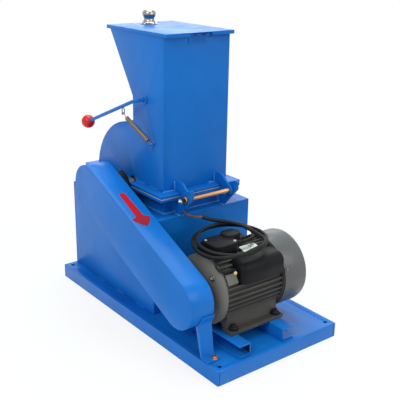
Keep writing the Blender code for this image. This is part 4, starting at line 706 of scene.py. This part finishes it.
def dressed(node, material, edge):
    """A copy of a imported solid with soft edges, which stands for it."""
    mesh = NODES[node].data.copy()
    shape = bmesh.new()
    shape.from_mesh(mesh)
    bmesh.ops.remove_doubles(shape, verts=shape.verts, dist=SAME_PLACE)
    bmesh.ops.dissolve_limit(shape, angle_limit=SAME_PLANE, verts=shape.verts, edges=shape.edges)
    shape.to_mesh(mesh)
    shape.free()
    mesh.materials.clear()
    mesh.materials.append(material)
    mesh.shade_smooth()
    piece = placed(node + "_skin", mesh)
    if edge:
        bevel = piece.modifiers.new("Edges", "BEVEL")
        bevel.width = edge
        bevel.segments = 2
        bevel.limit_method = "ANGLE"
        bevel.angle_limit = REAL_EDGE
        bevel.harden_normals = True
        bevel.use_clamp_overlap = True
    else:
        mesh.set_sharp_from_angle(angle=REAL_EDGE)
    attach(piece, BODY_OF[node])
    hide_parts(node)


SKINS = {
    RAIL_BLUE_WITH_SHADE: "motor_rail_near motor_rail_far",
    BLUE: "base_pan housing_front housing_back housing_near housing_far housing_top lower_neck "
          "hinge_ear_near hinge_ear_far guard_strap clamp_ear_near clamp_ear_far belt_guard "
          "casing_near casing_far casing_curve casing_front hopper_back upper_flange_rear "
          "upper_flange_front lid_leaf hopper_lid feed_lever",
    BRIGHT: "rotor_shaft",
    ZINC: "tie_rod_a tie_rod_b",
    SCALE: "hammer_a hammer_b hammer_rod_a hammer_rod_b sieve_screen feed_flap",
    COPPER_ZINC: "hinge_rod",
    BLACK_IRON: "bearing_near bearing_far clamp_pin rotor_pulley motor_pulley",
    MOTOR_GREY: "motor_body",
    BELL_GREY: "motor_bell",
    COVER_GREY: "fan_cover",
    BLACK_PLASTIC: "terminal_box run_capacitor start_capacitor",
    RUBBER: "drive_belt_outer drive_belt_inner",
    SEAL: "gasket_rear gasket_front",
    SPRING_STEEL: "swing_bolt",
}
SHEET_EDGE = 0.0008
EDGES = {"base_pan": 0.0016, "belt_guard": 0.0012, "hopper_lid": 0.0009, "motor_bell": 0.0015,
         "terminal_box": 0.003, "run_capacitor": 0.004, "start_capacitor": 0.004,
         "bearing_near": 0.0018, "bearing_far": 0.0018, "gasket_rear": 0.0, "gasket_front": 0.0,
         "rotor_shaft": 0.0006, "feed_lever": 0.0, "drive_belt_outer": 0.0,
         "drive_belt_inner": 0.0, "sieve_screen": 0.0004}

for material, nodes in SKINS.items():
    for node in nodes.split():
        dressed(node, material, EDGES.get(node, SHEET_EDGE))
print(f"{sum(len(nodes.split()) for nodes in SKINS.values())} solids dressed")

# %% [markdown]
# ## The lever's ball
# A plastic ball is moulded perfectly round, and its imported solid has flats. A fine sphere of the
# same size takes the solid's place, and it rides on the lever with the rod.

# %% Ball
BALL_RADIUS = 0.02


def smooth_ball():
    low, high = (Vector(corner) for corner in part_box("lever_ball"))
    shape = bmesh.new()
    bmesh.ops.create_uvsphere(shape, u_segments=64, v_segments=32, radius=BALL_RADIUS)
    bmesh.ops.translate(shape, vec=(low + high) / 2, verts=shape.verts)
    fitted(finished("smooth_ball", shape, RED, 60), "lever", "red_ball", "lever_ball")


smooth_ball()

# %% [markdown]
# ## The lid's knob and the slots of its hinge
# The lid's knob is a turned and polished mushroom on a wide flange, and a lathe turns its profile
# about the vertical. Two thin dark sheets on the hinge's leaf are painted shade for two narrow
# slots where the hinge's knuckle is rolled.

# %% Lid knob
KNOB_PROFILE = [(0.0, 0.0), (0.026, 0.0), (0.026, 0.0011), (0.0225, 0.003), (0.018, 0.006),
                (0.0155, 0.0103), (0.0146, 0.0147), (0.0156, 0.0184), (0.018, 0.0218),
                (0.0192, 0.0255), (0.0195, 0.0287), (0.0188, 0.0324), (0.0168, 0.0358),
                (0.0134, 0.0388), (0.0088, 0.0409), (0.0044, 0.0418), (0.0, 0.042)]
SLOT = [(0.0, 0.0), (0.015, 0.0), (0.015, 0.003), (0.0, 0.003)]
SLOT_X, SLOT_Z = 0.0305, 0.8012


def lid_hardware():
    low, high = (Vector(corner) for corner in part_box("lid_knob"))
    foot = ((low.x + high.x) / 2, (low.y + high.y) / 2, low.z)
    knob = lathe("mushroom_knob", KNOB_PROFILE, foot, (0, 0, 1), STAINLESS, 96, 50)
    fitted(knob, "lid", "stainless", "lid_knob")
    for i, y in enumerate((-0.0215, 0.0075)):
        # a thin dark sheet as painted shade for each slot
        slot = slab(f"hinge_slot_{i}", SLOT, 0.0004, at(SLOT_X, y, SLOT_Z), (0, 1, 0), (0, 0, 1),
                    SEAM_DARK_AND_SLOT_SHADE)
        fitted(slot, "cover", "rubber")


lid_hardware()

# %% [markdown]
# ## The red arrow
# A red arrow on the guard's band shows which way the belt runs. It is a thin sticker, a little
# darker towards its head.

# %% Arrow
GUARD_UPPER = (-0.1723, 0.3666)
GUARD_RADIUS = 0.0675
BAND_RUN = Vector((0.916, 0.0, -0.4012))
BAND_OUT = Vector((0.4012, 0.0, 0.916))
ARROW_LINE_Y = -0.2075
ARROW_TAIL, ARROW_NECK, ARROW_BARB, ARROW_TIP = 0.114, 0.214, 0.219, 0.2539
TAIL_HALF, NECK_HALF, BARB_HALF = 0.0088, 0.0114, 0.027
STICKER = 0.0003


def arrow_outline():
    """Half the outline along the run, then its mirror."""
    half = [(ARROW_TAIL + TAIL_HALF * (1 - sin(a)), TAIL_HALF * cos(a))
            for a in (pi / 2 * (1 - k / 6) for k in range(7))]
    half += [(ARROW_NECK - 0.002, NECK_HALF), (ARROW_NECK, NECK_HALF + 0.0012),
             (ARROW_BARB, BARB_HALF), (ARROW_BARB + 0.0018, BARB_HALF + 0.0002)]
    for k in range(1, 7):
        share = k / 7
        bulge = 0.0048 * sin(pi * share)
        half.append((ARROW_BARB + 0.0018 + (ARROW_TIP - ARROW_BARB - 0.0018) * share,
                     BARB_HALF * (1 - share) + bulge))
    half.append((ARROW_TIP, 0.0))
    return half + [(s, -t) for s, t in reversed(half[1:-1])]


def arrow():
    skin = Skin("arrow_red", (0.55, 0.01, 0.012), 0.45, shine=0.15)
    along = skin.out("VectorMath", "Value", {"operation": "DOT_PRODUCT"},
                     {0: skin.out("TexCoord", "Object"), 1: BAND_RUN})
    start = at(GUARD_UPPER[0], 0, GUARD_UPPER[1]).dot(BAND_RUN)
    fade = skin.ramp(along + 0.02 * skin.noise(40.0, 4.0), start + ARROW_TAIL + 0.08,
                     start + ARROW_TIP)
    skin.mottle((0.56, 0.006, 0.008), (0.27, 0.014, 0.032), fade)
    skin.bump(skin.noise(300.0), 0.05, 0.0002)
    corner = at(GUARD_UPPER[0], ARROW_LINE_Y, GUARD_UPPER[1]) + BAND_OUT * (GUARD_RADIUS + 0.0001)
    piece = slab("direction_arrow", arrow_outline(), STICKER, corner, BAND_RUN, (0, 1, 0),
                 skin.material)
    fitted(piece, "frame", "red_ball")


arrow()

# %% [markdown]
# ## The return spring
# The imported spring is a plain rod with its real length. Here it is wound wire: a close coil, a
# hook about the stud on the hopper, and a hook through the lever's ring.

# %% Spring
def coil_pattern():
    """A round wire wound into a close coil along Z."""
    tree = Pattern("wire_coil", Turns="Float", Radius="Float", Wire="Float", Length="Float",
                   Material="Material")
    given = tree.start.outputs
    path = tree.node("GeometryNodeCurveSpiral",
                     {"Resolution": 20, "Rotations": given["Turns"], "Height": given["Length"],
                      "Start Radius": given["Radius"], "End Radius": given["Radius"]})
    ring = tree.node("GeometryNodeCurvePrimitiveCircle",
                     {"Resolution": 8, "Radius": given["Wire"]}, mode="RADIUS")
    wire = tree.node("GeometryNodeCurveToMesh",
                     {"Curve": path, "Profile Curve": ring, "Fill Caps": True})
    tree.close(wire)
    return tree


COIL = coil_pattern()
STUD = Vector((-0.024, -0.12, 0.508))
SPRING_LOW = Vector((-0.024, -0.12, 0.5123))
SPRING_HIGH = Vector((-0.1137, -0.149, 0.58))
RING_BOTTOM = Vector((-0.1157, -0.149, 0.5818))
SPRING_WIRE = 0.00095
SPRING_TURNS = 46
SPRING_RADIUS = 0.0062
HOOK_REACH = 0.012                 # how much of the length each hook takes


def hook(name, points):
    """A bent end of the spring's wire."""
    places = [at(*p) for p in smooth_route(points, 0.0012)]
    return strand(name, places, SPRING_WIRE, SPRING_STEEL, 2)


def return_spring():
    run = (SPRING_HIGH - SPRING_LOW).normalized()
    reach = (SPRING_HIGH - SPRING_LOW).length
    first = SPRING_LOW + run * HOOK_REACH
    turn = Matrix.Translation(at(*first)) @ run.to_track_quat("Z", "Y").to_matrix().to_4x4()
    body = COIL.grow("spring_coil", lines_mesh("seed", []), place=turn, sharp=60,
                     Turns=float(SPRING_TURNS), Radius=SPRING_RADIUS - SPRING_WIRE,
                     Wire=SPRING_WIRE, Length=reach - 2 * HOOK_REACH, Material=SPRING_STEEL)
    low_angle = atan2(run.z, run.x)
    low_loop = [STUD + 0.0058 * Vector((cos(a), 0, sin(a)))
                for a in (low_angle + radians(20 - 18 * k) for k in range(17))]
    low = hook("low_hook", [first + run * 0.001, first - run * 0.002, *low_loop])
    last = first + run * (reach - 2 * HOOK_REACH)
    across = Vector((0, 1, 0)) - run * run.y
    across.normalize()
    heart = RING_BOTTOM + run * 0.0006
    high_loop = [heart + 0.0044 * (across * sin(a) - run * cos(a))
                 for a in (radians(30 + 19 * k) for k in range(16))]
    high = hook("high_hook", [last - run * 0.001, last + run * 0.003, *high_loop])
    shape = bmesh.new()
    graph = bpy.context.evaluated_depsgraph_get()
    for part in (body, low, high):
        mesh = bpy.data.meshes.new_from_object(part.evaluated_get(graph))
        shape.from_mesh(mesh)
        bpy.data.objects.remove(part)
    spring = finished("wound_spring", shape, SPRING_STEEL, 60)
    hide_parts("return_spring")
    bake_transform(spring)
    print(f"spring {reach:.3f} m, {SPRING_TURNS} turns")


return_spring()

# %% [markdown]
# ## The same thing in many places
# The knurl's teeth, and later the bolts, are one scratch shape set at many vertices. Each vertex
# carries the direction that its copy stands along, and a turn about it that a fixed seed picks.


# %% Copies
def copy_pattern():
    """One thing set at every vertex, standing along the vertex's aim."""
    tree = Pattern("set_copies", Thing="Object", Spin="Float", Seed="Int", Material="Material")
    given = tree.start.outputs
    thing = tree.node("GeometryNodeObjectInfo", {"Object": given["Thing"]}, "Geometry")
    aim = tree.node("GeometryNodeInputNamedAttribute", {"Name": "aim"}, data_type="FLOAT_VECTOR")
    turn = tree.node("FunctionNodeAlignRotationToVector", {"Vector": aim}, axis="Z")
    laid = tree.node("GeometryNodeInstanceOnPoints",
                     {"Points": given["Geometry"], "Instance": thing, "Rotation": turn})
    twist = tree.node("FunctionNodeRandomValue", {3: given["Spin"], "Seed": given["Seed"]}, 1,
                      data_type="FLOAT")
    about = tree.node("ShaderNodeCombineXYZ", {"Z": twist})
    spun = tree.node("GeometryNodeRotateInstances", {"Instances": laid, "Rotation": about})
    tree.close(spun, smooth=False)
    return tree


def spots_mesh(name, spots):
    """A mesh of loose vertices, each with the direction that its copy stands along."""
    mesh = bpy.data.meshes.new(name)
    mesh.from_pydata([tuple(place) for place, _ in spots], [], [])
    aim = mesh.attributes.new("aim", "FLOAT_VECTOR", "POINT")
    for i, (_, direction) in enumerate(spots):
        aim.data[i].vector = direction
    return mesh


COPIES = copy_pattern()


def set_copies(name, thing, spots, material, spin=pi, sharp=30, seed=1):
    """Copies of a scratch object at the spots; the scratch object is then removed."""
    piece = COPIES.grow(name, spots_mesh(name, spots), sharp=sharp, Thing=thing, Spin=spin,
                        Seed=seed, Material=material)
    bpy.data.objects.remove(thing)
    return piece


# %% [markdown]
# ## The knurled knob of the swing bolt
# A turned steel knob: a smooth collar, a relief groove and a diamond-knurled rim with a chamfer
# on both sides. The knurl's small pyramids are one shape set in rows about the rim.

# %% Knob
CLAMP_PIVOT = Vector((-0.37048, 0.002, 0.342))
CLAMP_TILT = radians(40)
CLAMP_UP = Vector((-sin(CLAMP_TILT), 0, cos(CLAMP_TILT)))
CLAMP_SEAT = 0.0452
KNOB_RADIUS = 0.025
KNURL_COUNT, KNURL_ROWS, KNURL_DEPTH = 54, 7, 0.0008
KNURL_LOW, KNURL_RUN = 0.033, 0.016      # the first row's height, and how far the rows go


def clamp_knob():
    seat = CLAMP_PIVOT + CLAMP_UP * CLAMP_SEAT
    rim = KNOB_RADIUS - KNURL_DEPTH
    profile = [(0.0, 0.0003), (0.0155, 0.0003), (0.017, 0.0015), (0.017, 0.026),
               (0.016, 0.0272), (0.015, 0.028), (0.015, 0.03), (0.0225, 0.03),
               (rim, 0.0318), (rim, 0.0502), (0.0228, 0.0518), (0.018, 0.052),
               (0.0172, 0.0512), (0.006, 0.051), (0.005, 0.0505), (0.0, 0.0505)]
    knob = lathe("knob", profile, at(*seat), CLAMP_UP, BRIGHT, 64, 25)
    turn = CLAMP_UP.to_track_quat("Z", "Y").to_matrix()
    shape = bmesh.new()
    tooth = bmesh.ops.create_cone(shape, cap_ends=False, segments=4, radius1=0.00155,
                                  radius2=0.0002, depth=KNURL_DEPTH)
    bmesh.ops.translate(shape, vec=(0, 0, KNURL_DEPTH / 2), verts=tooth["verts"])
    thing = bpy.data.objects.new("tooth", kept("tooth", shape))
    spots = []
    for row in range(KNURL_ROWS):
        for i in range(KNURL_COUNT):
            a = 2 * pi * (i + 0.5 * (row % 2)) / KNURL_COUNT
            out = turn @ Vector((cos(a), sin(a), 0))
            height = KNURL_LOW + KNURL_RUN * row / (KNURL_ROWS - 1)
            spots.append((at(*(seat + CLAMP_UP * height)) + out * rim, out))
    teeth = set_copies("knob_knurl", thing, spots, BRIGHT, spin=0.0, sharp=10)
    fitted(knob, "swing_bolt", "zinc", "clamp_knob")
    fitted(teeth, "swing_bolt", "zinc")


clamp_knob()

# %% [markdown]
# ## A bead of weld
# A hand-laid weld is a row of overlapping drops. The tree walks along the edges of a mesh in
# even steps and sets a small uneven ball at each step.


# %% Weld beads
def bead_pattern():
    """Overlapping drops along lines, as a hand-laid weld leaves."""
    tree = Pattern("weld_beads", Size="Float", Pace="Float", Seed="Int", Material="Material")
    given = tree.start.outputs
    line = tree.node("GeometryNodeMeshToCurve", {"Mesh": given["Geometry"]})
    walk = tree.node("GeometryNodeCurveToPoints", {"Curve": line, "Length": given["Pace"]}, None,
                     mode="LENGTH")
    drop = tree.node("GeometryNodeMeshIcoSphere", {"Radius": given["Size"], "Subdivisions": 2})
    uneven = tree.node("FunctionNodeRandomValue",
                       {"Min": (0.8, 0.8, 0.75), "Max": (1.2, 1.2, 1.15),
                        "Seed": given["Seed"]}, data_type="FLOAT_VECTOR")
    laid = tree.node("GeometryNodeInstanceOnPoints",
                     {"Points": walk["Points"], "Instance": drop, "Rotation": walk["Rotation"],
                      "Scale": uneven})
    tree.close(laid)
    return tree


BEADS = bead_pattern()

# %% [markdown]
# ## Welds
# The sheet work is welded by hand and painted over. The beads show along the cover's foot, on the
# hinge ears, round the neck on the housing's top, and round the housing's foot on the base. Those
# at the cover's front, on the ears and round the neck are a lighter blue, a painted highlight for
# their glints.

# %% Welds
CHAMBER_NEAR, CHAMBER_FAR = -0.109, 0.113
CASING_FRONT = 0.0214
UPPER_TOP, HOUSING_TOP, BASE_TOP = 0.382, 0.3189, 0.041
HOUSING_FRONT, HOUSING_NEAR, HOUSING_FAR = 0.058, -0.169, 0.173
EAR_NEAR, EAR_FAR = -0.08, 0.084
EAR_PLATE = 0.007
COVER_EAR = 0.008                  # the cover's ears stand inside the housing's
BEAD, BEAD_PACE = 0.0027, 0.0032
SEAM, LOW_SEAM = 0.0004, 0.0003    # how far a bead's middle stands off the sheet
SIDE_STITCH, BASE_STITCH = 0.04, 0.038
SIDE_STARTS = (-0.318, -0.25, -0.182, -0.112, -0.045)


def weld(name, body, lines, material, seed):
    places = [[at(*p) for p in line] for line in lines]
    piece = BEADS.grow(name, lines_mesh("seam", places), Size=BEAD, Pace=BEAD_PACE, Seed=seed,
                       Material=material)
    fitted(piece, body, "blue_paint")


def sides_of(low):
    """Both sides of an ear's plate, from its lower side."""
    return low - SEAM, low + EAR_PLATE + SEAM


def cover_welds():
    foot, front = UPPER_TOP + SEAM, CASING_FRONT + SEAM
    near, far = CHAMBER_NEAR - SEAM, CHAMBER_FAR + SEAM
    ear_near, ear_far = EAR_NEAR + COVER_EAR, EAR_FAR - COVER_EAR
    lines = [[(front, start, foot), (front, end, foot)]
             for start, end in ((near, ear_near - 0.001), (ear_near + EAR_PLATE + 0.001, -0.045),
                                (0.05, ear_far - EAR_PLATE - 0.001), (ear_far + 0.001, far))]
    lines += [[(front, y, UPPER_TOP + 0.001), (front, y, 0.407)]
              for low in (ear_near, ear_far - EAR_PLATE) for y in sides_of(low)]
    weld("cover_welds", "cover", lines, LIGHTENED_WELD_BLUE, 3)
    stitches = [[(start, y, foot), (start + SIDE_STITCH, y, foot)]
                for y in (near, far) for start in SIDE_STARTS]
    weld("cover_side_welds", "cover", stitches, BLUE, 4)


def frame_welds():
    floor, front = HOUSING_TOP + LOW_SEAM, CASING_FRONT + SEAM
    lines = [[(-0.3, y, floor), (0.0205, y, floor)]
             for y in (CHAMBER_NEAR - SEAM, CHAMBER_FAR + SEAM)]
    lines.append([(front, CHAMBER_NEAR, floor), (front, CHAMBER_FAR, floor)])
    lines += [[(HOUSING_FRONT - 0.019, y, floor), (HOUSING_FRONT - 0.001, y, floor)]
              for low in (EAR_NEAR, EAR_FAR - EAR_PLATE) for y in sides_of(low)]
    weld("housing_welds", "frame", lines, LIGHTENED_WELD_BLUE, 5)

    base, front = BASE_TOP + LOW_SEAM, HOUSING_FRONT + LOW_SEAM
    stitches = [[(start, y, base), (start + BASE_STITCH, y, base)]
                for start in (-0.36, -0.25, -0.14, -0.03)
                for y in (HOUSING_NEAR - LOW_SEAM, HOUSING_FAR + LOW_SEAM)]
    stitches += [[(front, start, base), (front, start + BASE_STITCH, base)]
                 for start in (-0.14, -0.02, 0.1)]
    weld("base_welds", "frame", stitches, BLUE, 8)


cover_welds()
frame_welds()

# %% [markdown]
# ## Bolts and screws
# A hexagon head with a chamfer stands for every bolt and nut, on a washer where the real one has
# one, and with a thread's end where it is a nut. Only the sizes differ, so one function makes
# them all.


# %% A bolt
WASHER = 0.0014


def bolt(radius, height, washer=0.0, end=0.0):
    """A scratch hexagon head with a chamfer, perhaps on a washer, perhaps with a thread's end."""
    shape = bmesh.new()
    shift = 0.0
    if washer:
        shift = WASHER
        disc = bmesh.ops.create_cone(shape, cap_ends=True, segments=32, radius1=washer,
                                     radius2=0.96 * washer, depth=shift)
        bmesh.ops.translate(shape, vec=(0, 0, shift / 2), verts=disc["verts"])
    corners = [(cos(i * pi / 3), sin(i * pi / 3)) for i in range(6)]
    layers = [[shape.verts.new((size * x, size * y, level + shift)) for x, y in corners]
              for size, level in ((radius * 0.99, 0.0), (radius, 0.0004), (radius, 0.82 * height),
                                  (0.9 * radius, height))]
    walls(shape, layers)
    shape.faces.new(layers[-1])
    if end:
        stub = bmesh.ops.create_cone(shape, cap_ends=True, segments=20, radius1=0.55 * radius,
                                     radius2=0.47 * radius, depth=end)
        bmesh.ops.translate(shape, vec=(0, 0, shift + height + end / 2), verts=stub["verts"])
    return bpy.data.objects.new("bolt", kept("bolt", shape))


# %% [markdown]
# ## Where the hardware sits
# The nuts and the bare ends of the hinge rod, the guard strap's bolt, the motor's cover screws,
# the nuts on its bell and feet, the screws of its terminal box and the bearings' grease nipples.

# %% Hardware
UP = (0, 0, 1)
ROD_X, ROD_Z = 0.086, 0.373
FOOT_BOLTS = 0.0893                # from the motor's axis to its feet's bolts


def hardware(name, slot, material, thing, spots):
    aims = [(at(*place), Vector(aim)) for place, aim in spots]
    fitted(set_copies(name, thing, aims, material, seed=2), "frame", slot)


def round_the_motor(radius, y, degrees):
    """Places about the motor's axis, each with the direction outwards."""
    for a in map(radians, degrees):
        out = Vector((cos(a), 0, sin(a)))
        yield Vector((MOTOR_X, y, MOTOR_Z)) + radius * out, out


def rod_hardware():
    """What shows at the ends of the hinge rod."""
    for name, y, side, reach in (("near_rod_end", -0.0862, -1, 0.012),
                                 ("far_rod_end", 0.0902, 1, 0.008)):
        stub = [(0.0, 0.0), (0.0052, 0.0), (0.0052, reach), (0.0046, reach + 0.0008),
                (0.0, reach + 0.0008)]
        end = lathe(name, stub, at(ROD_X, y, ROD_Z), (0, side, 0), BLACK_IRON, 24)
        fitted(end, "frame", "black_iron")
    hardware("hinge_nuts", "zinc", ZINC, bolt(0.0068, 0.005, 0.0, 0.0035),
             [((ROD_X, -0.0986, ROD_Z), (0, -1, 0)), ((ROD_X, 0.098, ROD_Z), (0, 1, 0))])


def small_hardware():
    hardware("strap_bolt", "copper_zinc", COPPER_ZINC, bolt(0.0068, 0.005, 0.0092),
             [((0.343, -0.179, 0.0452), UP)])
    hardware("bell_nuts", "zinc", DULL_ZINC, bolt(0.0055, 0.0042, 0.0078, 0.004),
             [(place, (0, -1, 0))
              for place, _ in round_the_motor(0.079, -0.1425, (45, 135, 225, 315))])
    hardware("fan_cover_screws", "zinc", DULL_ZINC, bolt(0.0038, 0.0022, 0.0052),
             round_the_motor(0.1029, 0.079, (20, 110, 200, 290)))
    hardware("box_screws", "zinc", ZINC, bolt(0.003, 0.0016, 0.0042),
             [((0.2035, -0.104, 0.3), UP), ((0.2505, -0.045, 0.3), UP)])
    hardware("clip_screws", "zinc", YELLOW_ZINC, bolt(0.0036, 0.0026, 0.005),
             [((0.3058, -0.0868, 0.2405), (0.35, -0.85, 0.4)),
              ((0.1495, -0.0868, 0.2405), (-0.35, -0.85, 0.4))])
    hardware("bearing_nipples", "zinc", DULL_ZINC, bolt(0.0032, 0.004, 0.0, 0.005),
             [((-0.135, y, 0.4126), UP) for y in (-0.1533, 0.1573)])
    hardware("mounting_nuts", "black_iron", BLACK_IRON, bolt(0.0112, 0.0078, 0.0135, 0.006),
             [((x, y, 0.0868), UP) for x in (MOTOR_X - FOOT_BOLTS, MOTOR_X + FOOT_BOLTS)
              for y in (-0.096, 0.0505)])


rod_hardware()
small_hardware()

# %% [markdown]
# ## On the motor
# A bare rating plate behind the terminal box, two cast bosses, a seam where the fan cover laps the
# body, and a short lead from the box to the capacitor's cover. The lead is a cord of its own, held
# at both ends.

# %% Motor details
LEAD_RADIUS = 0.003
CAPACITOR_LEAD = [(0.2635, -0.106, 0.2735), (0.268, -0.119, 0.2712), (0.2755, -0.1295, 0.2678),
                  (0.286, -0.1335, 0.2605), (0.294, -0.129, 0.2532), (0.2985, -0.118, 0.249),
                  (0.2996, -0.105, 0.2478), (0.2992, -0.093, 0.2472), (0.299, -0.0795, 0.2465)]


def on_barrel(name, degrees, y, radius, thickness, material, slot, steps=10):
    """A thin sheet bent round the motor."""
    shape = bmesh.new()
    rows = []
    for k in range(steps + 1):
        a = radians(degrees[0] + (degrees[1] - degrees[0]) * k / steps)
        x, z = cos(a), sin(a)
        rows.append([shape.verts.new(at(MOTOR_X + r * x, place, MOTOR_Z + r * z))
                     for place, r in ((y[0], radius), (y[0], radius + thickness),
                                      (y[1], radius + thickness), (y[1], radius))])
    walls(shape, rows)
    shape.faces.new(rows[0])
    shape.faces.new(rows[-1])
    fitted(finished(name, shape, material), "frame", slot)


def motor_details():
    on_barrel("rating_plate", (64, 84), (-0.02, 0.034), 0.0953, 0.0006, PLATE_GREY, "zinc")
    for name, degrees in (("cast_boss", (24, 40)), ("cast_boss_back", (140, 156))):
        on_barrel(name, degrees, (-0.118, -0.086), 0.0946, 0.0042, BELL_GREY, "bell_grey")
    on_barrel("cover_seam", (0, 360), (0.07, 0.0722), 0.1015, 0.0012, SEAM_DARK_AND_SLOT_SHADE, "rubber", 64)
    places = [at(*p) for p in smooth_route(CAPACITOR_LEAD, 0.003)]
    lead = fitted(strand("capacitor_lead", places, LEAD_RADIUS, RUBBER, 3), "frame", "rubber")
    length = run_of(places)
    print(f"capacitor lead {length:.3f} m")


motor_details()

# %% [markdown]
# ## The fan
# Behind the grille a fan turns with the motor's rotor. Its blades are straight plates on a hub, as
# on a fan that works either way round.

# %% Fan
BLADES, BLADE_SHEET = 8, 0.0018
BLADE_Y = 0.094


def cooling_fan():
    profile = [(0.0, 0.095), (0.02, 0.095), (0.02, 0.118), (0.016, 0.122), (0.0, 0.122)]
    hub = lathe("fan_hub", profile, at(MOTOR_X, 0, MOTOR_Z), (0, 1, 0), BLACK_PLASTIC, 32)
    fitted(hub, "motor_rotor", "black_plastic")
    outline = [(0.018, 0.0), (0.082, 0.004), (0.082, 0.026), (0.018, 0.022)]
    for i in range(BLADES):
        a = 2 * pi * i / BLADES
        out, side = Vector((cos(a), 0, sin(a))), Vector((-sin(a), 0, cos(a)))
        corner = at(MOTOR_X, BLADE_Y, MOTOR_Z) - side * BLADE_SHEET / 2
        blade = slab(f"fan_blade_{i}", outline, BLADE_SHEET, corner, out, (0, 1, 0), BLACK_PLASTIC)
        fitted(blade, "motor_rotor", "black_plastic")


cooling_fan()

# %% [markdown]
# ## Studio
# The machine stands on a pale floor. Away from it the floor's material blends into an even white
# that no lamp tints. Beneath the base the floor is painted near-black, a painted shade for the
# dark inside of the base pan that the corner holes look down on, and the floor throws little light
# back beyond the motor.

# %% Floor
FLOOR_SIZE, FLOOR_LEVEL = 12.0, -0.0005
PALE = (0.93, 0.93, 0.94)
FLOOR_NEAR, FLOOR_FAR = 0.45, 1.1
SHADOWED, PLAIN = 0.84, 0.72       # how far the floor near the base is white, seen and for light
# half-size of the floor's patch of painted shade beneath the base
SHADE_UNDER_BASE = (0.385, 0.203)
MIRRORED = ("Is Glossy Ray", "Is Transmission Ray")     # metal and glass show the white too
AHEAD = Vector((-0.79, 0.61, 0.0))     # the way that the camera looks, on the floor
ASIDE = Vector((0.61, 0.79, 0.0)) - 0.31 * AHEAD
ASIDE_START, ASIDE_RUN = 0.701, 0.4
LIGHT_ASIDE = 0.12


def studio_floor():
    skin = Skin("studio_floor", PALE, 0.8, shine=0.0)
    here = skin.out("TexCoord", "Object")
    reach = skin.out("VectorMath", "Value", {"operation": "LENGTH"}, {0: here})
    aside = skin.out("VectorMath", "Value", {"operation": "DOT_PRODUCT"}, {0: here, 1: ASIDE})
    path = skin.make("LightPath")
    rays = sum(Wire(skin, path.outputs[kind]) for kind in ("Is Camera Ray", *MIRRORED))
    seen = skin.ramp(rays, 0.0, 1.0)
    lit = skin.ramp(aside, ASIDE_START, ASIDE_START + ASIDE_RUN, 1.0, LIGHT_ASIDE)
    # 0 beneath the base: there the floor is painted near-black, as shade for the inside of the
    #                     base pan
    white = (seen + lit * (1 - seen)) * skin.outside(SHIFT, (*SHADE_UNDER_BASE, 1.0))
    near = PLAIN + (SHADOWED - PLAIN) * seen
    # near-black where white is 0: the painted shade beneath the base, and the floor aside that
    # throws little light
    skin.mottle((0.02, 0.02, 0.02), PALE, white)
    glow = skin.make("Emission", None, {"Color": (1, 1, 1, 1), "Strength": 1.0})
    blend = skin.make("MixShader", None, {
        "Fac": white * (near + (1 - near) * skin.ramp(reach, FLOOR_NEAR, FLOOR_FAR))})
    skin.tree.links.new(skin.surface.outputs[0], blend.inputs[1])
    skin.tree.links.new(glow.outputs[0], blend.inputs[2])
    skin.tree.links.new(blend.outputs[0], skin.tree.nodes["Material Output"].inputs["Surface"])
    shape = bmesh.new()
    bmesh.ops.create_grid(shape, x_segments=1, y_segments=1, size=FLOOR_SIZE / 2)
    floor = placed("floor", kept("floor", shape))
    floor.data.materials.append(skin.material)
    floor.location.z = FLOOR_LEVEL


studio_floor()
print(f"floor of {FLOOR_SIZE} m")

# %% [markdown]
# ## Light
# Four soft boxes and a dim pale world light the machine evenly. The world is plain white where
# it is seen or mirrored, so that bare metal shows the white studio.


# %% World and lamps
def studio_world(light, strength):
    world = bpy.data.worlds.new("studio")
    bpy.context.scene.world = world
    world.use_nodes = True
    tree = world.node_tree
    ground = tree.nodes["Background"]
    ground.inputs["Color"].default_value = (*light, 1)
    ground.inputs["Strength"].default_value = strength
    white = tree.nodes.new("ShaderNodeBackground")
    white.inputs["Color"].default_value = (1, 1, 1, 1)
    path = tree.nodes.new("ShaderNodeLightPath")
    blend = tree.nodes.new("ShaderNodeMixShader")
    shown = path.outputs["Is Camera Ray"]
    for kind in MIRRORED:
        either = tree.nodes.new("ShaderNodeMath")
        either.operation = "MAXIMUM"
        tree.links.new(shown, either.inputs[0])
        tree.links.new(path.outputs[kind], either.inputs[1])
        shown = either.outputs[0]
    tree.links.new(shown, blend.inputs["Fac"])
    tree.links.new(ground.outputs["Background"], blend.inputs[1])
    tree.links.new(white.outputs["Background"], blend.inputs[2])
    tree.links.new(blend.outputs["Shader"], tree.nodes["World Output"].inputs["Surface"])


def softbox(name, place, aim, size, power, colour=(1, 1, 1)):
    light = bpy.data.lights.new(name, "AREA")
    light.shape = "RECTANGLE"
    light.size, light.size_y = size
    light.energy = power
    light.color = colour
    lamp = placed(name, light)
    lamp.location = place
    lamp.rotation_euler = (Vector(aim) - Vector(place)).to_track_quat("-Z", "Y").to_euler()
    print(f"{name} lamp {power} W")


studio_world((0.95, 0.97, 1.0), 0.4)
softbox("key", (0.9, -2.2, 2.4), (0, 0, 0.4), (1.6, 1.2), 30, (0.88, 0.98, 1.0))
softbox("side", (2.6, 0.8, 1.7), (0, 0, 0.35), (1.2, 1.6), 22)
softbox("top", (-0.4, 0.3, 2.8), (0, 0, 0.4), (1.8, 1.8), 52, (0.82, 1.0, 0.98))
softbox("back", (-2.4, 1.8, 1.9), (0, 0, 0.7), (2.2, 1.4), 17)
bpy.context.scene.view_settings.view_transform = "Standard"
